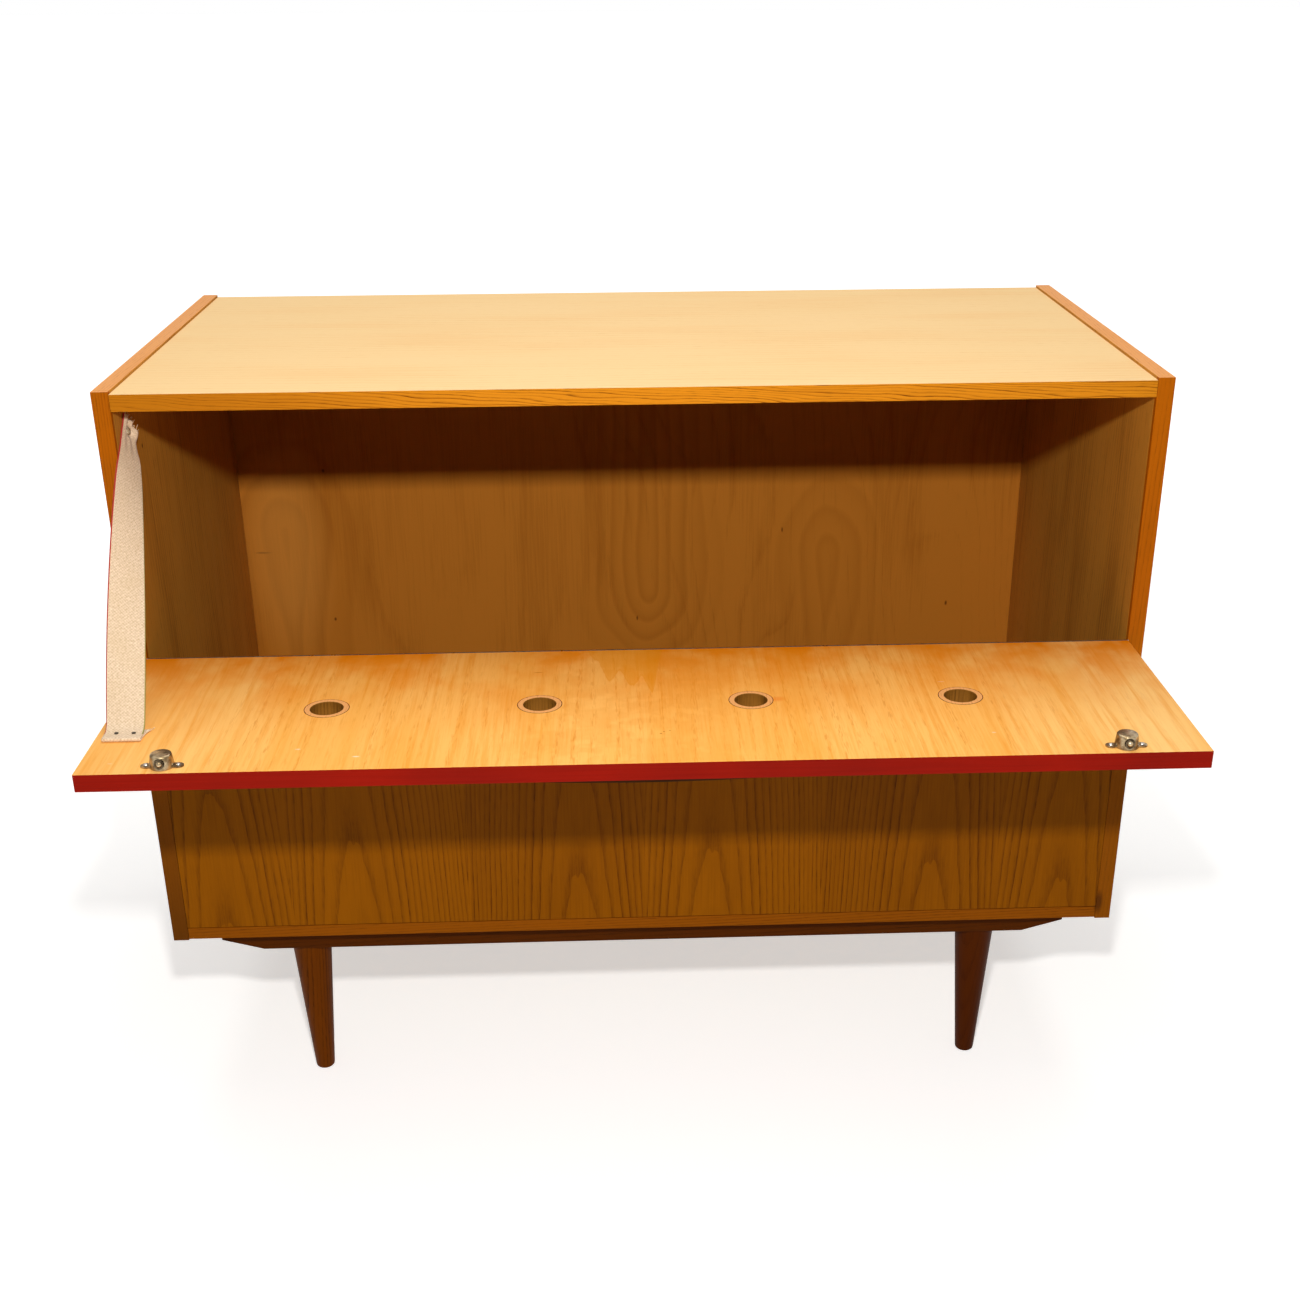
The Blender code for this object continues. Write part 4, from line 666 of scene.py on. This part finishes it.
# %% Make the webbing's finish
TAPE_WIDTH = 0.034
THREAD_MM = 1.5
webbing, tree, shader = new_finish("woven_cotton_webbing")
flat_cloth = add_node(tree, "TexCoord", output="UV")
split = add_node(tree, "SeparateXYZ", {0: flat_cloth}, output=None)
waves = []
for side in ("X", "Y"):
    turns = add_node(tree, "Math", {0: split[side], 1: math.pi / (THREAD_MM * MM)}, operation="MULTIPLY")
    waves.append(add_node(tree, "Math", {0: turns}, operation="SINE"))
weave = add_node(tree, "Math", {0: waves[0], 1: waves[1]}, operation="MULTIPLY")
fluff = add_node(tree, "TexNoise", {"Vector": flat_cloth, "Scale": 1 / 0.0022, "Detail": 3})
soil = add_node(tree, "TexNoise", {"Vector": flat_cloth, "Scale": 1 / 0.03, "Detail": 3})
# The tone follows the relief: the weave's hollows get painted shade between the threads, and the fluff noise
# varies the cotton's own tone.
relief = add_node(tree, "Math", {0: weave, 1: 0.16, 2: fluff}, operation="MULTIPLY_ADD")
shade = add_node(tree, "MapRange", {0: relief, 1: 0.2, 2: 0.85})
mixed = {0: shade, 6: linear("C8AA86"), 7: linear("F4DCBE")}
cotton = add_node(tree, "Mix", mixed, data_type="RGBA", output=2)
soiled = add_node(tree, "MapRange", {0: soil, 1: 0.45, 2: 0.8, 3: 0.0, 4: 0.5})
cotton = add_node(tree, "Mix", {0: soiled, 6: cotton, 7: linear("D2B68E")}, data_type="RGBA", output=2)
HEM_STARTS = 0.325
above_hem = add_node(tree, "Math", {0: split["Y"], 1: HEM_STARTS}, operation="LESS_THAN")
SELVEDGE = 1.1 * MM
EDGE_THREADS = ((0.0, SELVEDGE, "B4362A"), (TAPE_WIDTH, TAPE_WIDTH - SELVEDGE, "9C9450"))
for outer, inner, thread in EDGE_THREADS:
    near = add_node(tree, "MapRange", {0: split["X"], 1: inner, 2: outer})
    near = add_node(tree, "Math", {0: near, 1: 0.15}, operation="GREATER_THAN")
    near = add_node(tree, "Math", {0: near, 1: above_hem}, operation="MULTIPLY")
    cotton = add_node(tree, "Mix", {0: near, 6: cotton, 7: linear(thread)}, data_type="RGBA", output=2)
cloth_bump = add_node(tree, "Bump", {"Height": relief, "Strength": 0.45, "Distance": 0.4 * MM})
DRY_COTTON = {"Roughness": 0.95, "Specular IOR Level": 0.1}
fill(shader, {"Base Color": cotton, "Normal": cloth_bump, "Sheen Weight": 0.15, **DRY_COTTON})
print("made", webbing.name)

# %% [markdown]
# ## The strap
# The tape is screwed flat to the left side, twists a quarter turn on its way down, and lies flat on the flap.
# There its end is doubled under itself and tacked. Cloth simulation would lose the tape's straight weave, so
# a flat grid is bent to the line that the tape takes. First comes that line, as points down the middle of the
# tape.

# %% Follow the tape from its screw down to the flap
TAPE_THICKNESS = 1.6 * MM
END_MARGIN = 12 * MM
OFF_SIDE = 4.4 * MM
FIRST_TURN = 0.17
BUNCHED = 0.1
HEM_LENGTH = 18 * MM
HEM_TURN = 1.0 * MM
HEM_INSET = 1.5 * MM
STEP = 2 * MM
BEND = 9 * MM
TWIST_PACE, SWEEP_PACE = 0.95, 1.25
screw_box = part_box("strap_screw")
tape_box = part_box("strap")
screw_at = (screw_box[0] + screw_box[1]) / 2
screw_at.x = 0
side_x = tape_box[0].x + TAPE_THICKNESS / 2
hem_x = tape_box[1].x - TAPE_WIDTH / 2 - HEM_INSET
touch = Vector((0, tape_box[0].y + HEM_LENGTH, tape_box[0].z + 2 * HEM_TURN + TAPE_THICKNESS / 2))
run = (touch - screw_at).normalized()
edgewise = Vector((1, 0, 0)).cross(run)
span = (touch - screw_at).length - END_MARGIN


def eased(share):
    share = min(max(share, 0), 1)
    return share * share * (3 - 2 * share)


line = []
straight = 2 * END_MARGIN + span - BEND
count = round(straight / STEP)
for number in range(count + 1):
    reach = number / count * straight - END_MARGIN
    share = max(0, reach / (END_MARGIN + span))
    turn = FIRST_TURN * eased(share / BUNCHED) + (1 - FIRST_TURN) * share ** TWIST_PACE
    at = screw_at + run * reach
    off_side = side_x + OFF_SIDE * eased(share / BUNCHED)
    at.x = off_side + (hem_x - off_side) * share ** SWEEP_PACE
    line.append(SimpleNamespace(at=at, turn=math.pi / 2 * turn))
print("the straight run has", len(line), "stations")

# %% [markdown]
# Where it meets the flap, the tape bends level, runs on to its fold, turns under in a half circle, and ends
# beneath itself, a little askew. Its length is then added up from station to station.

# %% Bend it level and double the end under
HEM_UNDER = 21 * MM
HEM_SKEW = 4 * MM
BEND_STEPS, FOLD_STEPS, UNDER_STEPS = 6, 8, 8
flat_turn = math.pi / 2
touch.x = hem_x
before, after = touch - run * BEND, touch + Vector((0, -BEND, 0))
for number in range(1, BEND_STEPS + 1):
    share = number / BEND_STEPS
    at = before.lerp(touch, share).lerp(touch.lerp(after, share), share)
    at.x = line[-1].at.x + (hem_x - line[-1].at.x) * share
    line.append(SimpleNamespace(at=at, turn=line[-1].turn + (flat_turn - line[-1].turn) * share))
fold = Vector((hem_x, tape_box[0].y + HEM_TURN + TAPE_THICKNESS / 2, touch.z - HEM_TURN))
hem = [line[-1].at.lerp(fold + Vector((0, 0, HEM_TURN)), share) for share in (0.5, 0.75, 0.875)]
for number in range(FOLD_STEPS + 1):
    angle = math.pi * number / FOLD_STEPS
    hem.append(fold + Vector((0, -math.sin(angle), math.cos(angle))) * HEM_TURN)
for number in range(1, UNDER_STEPS + 1):
    share = number / UNDER_STEPS
    hem.append(fold + Vector((HEM_SKEW * share ** 3, HEM_UNDER * share, -HEM_TURN)))
line += [SimpleNamespace(at=at, turn=flat_turn) for at in hem]
lengths = [0]
for here, there in zip(line, line[1:]):
    lengths.append(lengths[-1] + (there.at - here.at).length)

# %% [markdown]
# A flat grid of the tape's size is now laid on that line. At the top the cut end is bunched under its screw,
# so it gets pleats that stand off the board, and one corner curls. The last step writes the UV map, in metres
# of tape.


# %% A way to make a piece
def mesh_from(bm, name):
    mesh = bpy.data.meshes.new(name)
    bm.to_mesh(mesh)
    bm.free()
    return mesh


def new_piece(name, bm, finish, smooth=True):
    mesh = mesh_from(bm, name)
    for face in mesh.polygons:
        face.use_smooth = smooth
    mesh.materials.append(finish)
    piece = bpy.data.objects.new(name, mesh)
    scene.collection.objects.link(piece)
    return piece


print("new_piece() is ready")

# %% Lay the grid on the line
THREADS_ACROSS = 20
PLEAT_HEIGHT = 1.3 * MM
PLEAT_TURN, PLEAT_SHIFT = 19, 1.2
SCREW_GRIP, GRIP_FADES = 4 * MM, 6 * MM
CURL = 6 * MM
SLANT = 8 * MM
GATHERED = 0.82
last = len(line) - 1
bm = bmesh.new()
bmesh.ops.create_grid(bm, x_segments=THREADS_ACROSS, y_segments=last, size=0.5)
cloth_map = bm.loops.layers.uv.new("cloth")
stations = {}
for vert in bm.verts:
    stations[vert] = (vert.co.x, round((vert.co.y + 0.5) * last))
for vert, (offset, number) in stations.items():
    here, reach = line[number], lengths[number]
    ahead, behind = line[min(number + 1, last)].at, line[max(number - 1, 0)].at
    width = edgewise * math.cos(here.turn) + Vector((1, 0, 0)) * math.sin(here.turn)
    along = (ahead - behind).normalized()
    away = along.cross(width).normalized()
    gather = GATHERED + (1 - GATHERED) * eased((reach - END_MARGIN) / (5 * END_MARGIN))
    from_screw = math.hypot(offset * TAPE_WIDTH * gather, reach - END_MARGIN)
    loose = eased((from_screw - SCREW_GRIP) / GRIP_FADES)
    pleat = PLEAT_HEIGHT * (1 + math.sin(offset * PLEAT_TURN + PLEAT_SHIFT)) * loose
    pleat *= 1 - eased(reach / (4 * END_MARGIN))
    curl = CURL * loose * max(0, offset + 0.1) / 0.6 * (1 - eased(reach / (3.5 * END_MARGIN)))
    slant = SLANT * loose * max(0, offset) * 2 * (1 - eased(reach / (2 * END_MARGIN)))
    vert.co = here.at + width * (offset * TAPE_WIDTH * gather) + away * (pleat + curl) + along * slant
print("laid", len(bm.faces), "faces along the tape")

# %% Map the weave and give the cloth its body
top_roots = [vert.co.copy() for vert, (offset, number) in stations.items() if number == 0]
hem_roots = [vert.co.copy() for vert, (offset, number) in stations.items() if number == last and offset > 0.2]
for face in bm.faces:
    for loop in face.loops:
        offset, number = stations[loop.vert]
        loop[cloth_map].uv = ((offset + 0.5) * TAPE_WIDTH, lengths[number])
strap = new_piece("webbing_strap", bm, webbing)
body = strap.modifiers.new("thickness", "SOLIDIFY")
body.thickness, body.offset = TAPE_THICKNESS, 0
soft_rim = strap.modifiers.new("soft_rim", "SUBSURF")
soft_rim.levels = soft_rim.render_levels = 1
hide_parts("strap")
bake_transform(strap)
print("strap has", len(strap.data.polygons), "faces")

# %% [markdown]
# ## Frayed ends
# Both ends of the tape were cut with scissors, and loose threads stick out. Each is a short bent wire: a
# curve with a round section, made into a mesh.

# %% Make the loose thread's finish
loose_cotton, tree, shader = new_finish("loose_cotton_thread")
place = add_node(tree, "TexCoord", output="Object")
twist = add_node(tree, "TexNoise", {"Vector": place, "Scale": 1 / 0.001, "Detail": 2})
mixed = {0: twist, 6: linear("CDAE84"), 7: linear("F2DCBC")}
shade = add_node(tree, "Mix", mixed, data_type="RGBA", output=2)
fill(shader, {"Base Color": shade, **DRY_COTTON})
print("made", loose_cotton.name)

# %% Fray both ends
YARN_RADIUS = 0.22 * MM
chance = random.Random(7)


def frayed(name, roots, outwards, spread, longest, body_name):
    curve = bpy.data.curves.new(name, "CURVE")
    curve.dimensions, curve.bevel_depth, curve.bevel_resolution = "3D", YARN_RADIUS, 1
    for root in roots:
        thread = curve.splines.new("POLY")
        thread.points.add(4)
        tip = outwards + Vector([chance.uniform(-1, 1) * part for part in spread])
        bend = Vector([chance.uniform(-0.3, 0.3) * part for part in spread])
        reach = longest * chance.uniform(0.4, 1)
        for number, point in enumerate(thread.points):
            share = number / 4
            at = root + tip * (reach * share) + bend * (reach * share ** 2)
            point.co = (*at, 1)
    holder = bpy.data.objects.new(name + "_curve", curve)
    bm = bmesh.new()
    bm.from_mesh(bpy.data.meshes.new_from_object(holder))
    bpy.data.objects.remove(holder)
    threads = new_piece(name, bm, loose_cotton)
    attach(threads, body_name)
    return threads


fray_top = frayed("strap_fray_top", top_roots, outwards=Vector((0.3, 0.35, 0.45)), spread=(0.3, 0.45, 0.4),
                  longest=6 * MM, body_name="carcass")
fray_hem = frayed("strap_fray_hem", hem_roots, outwards=Vector((0.7, 0.4, 0.15)), spread=(0.4, 0.4, 0.1),
                  longest=5 * MM, body_name="flap")
print("threads have", len(fray_top.data.polygons) + len(fray_hem.data.polygons), "faces")

# %% [markdown]
# ## The hinge's screws
# Each hinge leaf has seven countersunk holes, and a slotted screw fills each one flush. One head is modelled:
# a disc is cut by two planes, the strip between them is pushed down as the slot, and the rim is drawn down to
# a cone. Copies of it are then set in place, each with its slot at another angle.


# %% Model one slotted head
def slotted_head(radius, depth, slot_width, slot_depth):
    bm = bmesh.new()
    bmesh.ops.create_circle(bm, cap_ends=True, segments=24, radius=radius)
    for side in (-1, 1):
        bmesh.ops.bisect_plane(bm, geom=bm.verts[:] + bm.edges[:] + bm.faces[:],
                               plane_co=(side * slot_width / 2, 0, 0), plane_no=(1, 0, 0))
    rim = [edge for edge in bm.edges if edge.is_boundary]
    drawn = bmesh.ops.extrude_edge_only(bm, edges=rim)["geom"]
    lower = [item for item in drawn if isinstance(item, bmesh.types.BMVert)]
    bmesh.ops.translate(bm, verts=lower, vec=(0, 0, -depth))
    bmesh.ops.scale(bm, verts=lower, vec=(0.8, 0.8, 1))
    level = [face for face in bm.faces if face.normal.z ** 2 > 0.9]
    slot = [face for face in level if abs(face.calc_center_median().x) < slot_width / 2]
    pushed = bmesh.ops.extrude_face_region(bm, geom=slot)["geom"]
    bmesh.ops.delete(bm, geom=slot, context="FACES_ONLY")
    sunk = [item for item in pushed if isinstance(item, bmesh.types.BMVert)]
    bmesh.ops.translate(bm, verts=sunk, vec=(0, 0, -slot_depth))
    bmesh.ops.recalc_face_normals(bm, faces=bm.faces)
    return mesh_from(bm, "slotted_head")


head = slotted_head(radius=2.7 * MM, depth=0.9 * MM, slot_width=0.6 * MM, slot_depth=0.45 * MM)
print("a head has", len(head.polygons), "faces")


# %% Set the hinge's screws
def set_copies(name, shape, places, body_name, smooth):
    bm = bmesh.new()
    for place in places:
        before = len(bm.verts)
        bm.from_mesh(shape)
        bm.verts.ensure_lookup_table()
        bmesh.ops.transform(bm, matrix=place, verts=bm.verts[before:])
    piece = new_piece(name, bm, bright_steel, smooth)
    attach(piece, body_name)
    print("set", len(places), name)


FIRST_HOLE_X, HOLE_SPACING = -0.435, 0.145
SLOT_ANGLES = (12, 74, 140, 33, 101, 165, 58)
LEAF = 0.8 * MM
SEAT = 0.3 * MM
facing_back = Matrix.Rotation(-math.pi / 2, 4, "X")
panel_low, panel_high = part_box("lower_front_panel")
carcass_places, flap_places = [], []
for number, angle in enumerate(SLOT_ANGLES):
    x = FIRST_HOLE_X + HOLE_SPACING * number
    turn = math.radians(angle)
    on_panel = Matrix.Translation((x, (panel_low.y + panel_high.y) / 2, panel_high.z + SEAT + LEAF))
    on_flap = Matrix.Translation((x, flap_high.y + SEAT + LEAF, (flap_low.z + flap_high.z) / 2))
    carcass_places.append(on_panel @ Matrix.Rotation(turn, 4, "Z"))
    flap_places.append(on_flap @ facing_back @ Matrix.Rotation(turn + 1, 4, "Z"))
set_copies("hinge_screws_carcass", head, carcass_places, "carcass", smooth=False)
set_copies("hinge_screws_flap", head, flap_places, "flap", smooth=False)

# %% [markdown]
# ## The back's nails
# The back is held by round nail heads driven into its rebate: eight along its top and bottom, and four more
# up each side. A head is half a ball, pressed flat.

# %% Drive the back's nails
NAIL_RADIUS, NAIL_HEIGHT = 1.5 * MM, 0.6 * MM
NAIL_INSET = 5 * MM
bm = bmesh.new()
bmesh.ops.create_uvsphere(bm, u_segments=16, v_segments=8, radius=NAIL_RADIUS)
bmesh.ops.bisect_plane(bm, geom=bm.verts[:] + bm.edges[:] + bm.faces[:], plane_co=(0, 0, 0),
                       plane_no=(0, 0, -1), clear_outer=True)
bmesh.ops.scale(bm, verts=bm.verts, vec=(1, 1, NAIL_HEIGHT / NAIL_RADIUS))
nail = mesh_from(bm, "nail_head")
back_low, back_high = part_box("back_panel")
left, right = back_low.x + NAIL_INSET, back_high.x - NAIL_INSET
low, high = back_low.z + NAIL_INSET, back_high.z - NAIL_INSET
nail_spots = []
for number in range(8):
    x = left + (right - left) * number / 7
    nail_spots += [(x, low), (x, high)]
for number in range(1, 5):
    z = low + (high - low) * number / 5
    nail_spots += [(left, z), (right, z)]
nail_places = [Matrix.Translation((x, back_high.y, z)) @ facing_back for x, z in nail_spots]
set_copies("back_nails", nail, nail_places, "carcass", smooth=True)

# %% [markdown]
# ## The catches' springs
# Each catch has a coil spring behind its ball, and the ball goes 1.5 mm into it when the flap is pressed
# shut. A rigid coil would be pierced there. The wire's round section is spun about the spring's axis and
# moved along it at each step, as a lathe winds a spring.

# %% Wind the two springs
WIRE_RADIUS = 0.35 * MM
SPRING_TURNS = 6
STEPS_PER_TURN = 18
for hand in ("left", "right"):
    node_name = "catch_spring_" + hand
    coil_low, coil_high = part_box(node_name)
    axis_point = (coil_low + coil_high) / 2
    coil_radius = (coil_high.x - coil_low.x) / 2 - WIRE_RADIUS
    travel = coil_high.y - coil_low.y - 2 * WIRE_RADIUS
    bm = bmesh.new()
    section = bmesh.ops.create_circle(bm, cap_ends=True, segments=8, radius=WIRE_RADIUS)["verts"]
    wire_start = Vector((axis_point.x + coil_radius, coil_low.y + WIRE_RADIUS, axis_point.z))
    bmesh.ops.translate(bm, verts=section, vec=wire_start)
    steps = SPRING_TURNS * STEPS_PER_TURN
    bmesh.ops.spin(bm, geom=bm.faces[:], cent=axis_point, axis=(0, 1, 0), angle=2 * math.pi * SPRING_TURNS,
                   dvec=(0, travel / steps, 0), steps=steps)
    bmesh.ops.recalc_face_normals(bm, faces=bm.faces)
    coil = new_piece("coil_spring_" + hand, bm, bright_steel)
    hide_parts(node_name)
    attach(coil, "flap")
    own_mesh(coil)
    print(coil.name, "has", len(coil.data.polygons), "faces")

# %% [markdown]
# ## The floor and the light
# The photograph has a white background and one lamp close above the camera: it throws the top's shadow on the
# back and the flap's shadow on the panel below. A soft box overhead lights the level faces, and a low one in
# front fills the shadow under the flap. The floor and the world are white only to the camera and to shiny
# metal, through Light Path. The object itself gets no more than a faint fill from the world.


# %% Lay the floor
def seen_or_mirrored(tree):
    rays = add_node(tree, "LightPath", output=None)
    seen = add_node(tree, "Math", {0: rays["Is Camera Ray"], 1: rays["Is Glossy Ray"]})
    return add_node(tree, "Math", {0: seen, 1: rays["Is Transmission Ray"]}, use_clamp=True)


bm = bmesh.new()
bmesh.ops.create_grid(bm, x_segments=1, y_segments=1, size=40)
floor = bpy.data.objects.new("pale_floor", mesh_from(bm, "pale_floor"))
scene.collection.objects.link(floor)
pale_floor, tree, shader = new_finish("pale_floor")
fill(shader, {"Base Color": linear("F0EEEA"), "Roughness": 0.9})
NEAR_GLOW, FAR_GLOW = 0.52, 1.0
place = add_node(tree, "TexCoord", output="Object")
away = add_node(tree, "VectorMath", {0: place}, operation="LENGTH", output="Value")
glow = add_node(tree, "MapRange", {0: away, 1: 0.6, 2: 2.5, 3: NEAR_GLOW, 4: FAR_GLOW})
glow = add_node(tree, "Math", {0: seen_or_mirrored(tree), 1: glow}, operation="MULTIPLY")
glow = add_node(tree, "Emission", {"Color": (1, 1, 1, 1), "Strength": glow})
both = add_node(tree, "AddShader", {0: shader.outputs[0], 1: glow})
fill(tree.nodes["Material Output"], {"Surface": both})
floor.data.materials.append(pale_floor)
print("laid", floor.name)


# %% Hang the lamps and make the world
def soft_box(name, place, aim, size, watts):
    lamp = bpy.data.lights.new(name, "AREA")
    lamp.shape, lamp.size, lamp.size_y, lamp.energy = "RECTANGLE", size[0], size[1], watts
    holder = bpy.data.objects.new(name, lamp)
    holder.location = place
    holder.rotation_mode = "QUATERNION"
    holder.rotation_quaternion = (Vector(aim) - Vector(place)).to_track_quat("-Z", "Y")
    scene.collection.objects.link(holder)


soft_box("lamp_by_camera", place=(-0.03, -1.483, 1.352), aim=(0, 0, 0.42), size=(0.065, 0.065), watts=21)
soft_box("soft_box_overhead", place=(0, 0.4, 2.6), aim=(0, 0.15, 0.7), size=(2.2, 1.6), watts=28)
soft_box("soft_box_low_front", place=(0, -1.0, 0.12), aim=(0, 0, 0.3), size=(1.8, 0.2), watts=2.2)
FILL_LIGHT = 0.14
world = bpy.data.worlds.new("white_studio")
world.use_nodes = True
scene.world = world
tree = world.node_tree
brightness = add_node(tree, "MapRange", {0: seen_or_mirrored(tree), 3: FILL_LIGHT, 4: 1.0})
fill(tree.nodes["Background"], {"Color": (1, 1, 1, 1), "Strength": brightness})
print("lit the scene with", len(bpy.data.lights), "lamps")
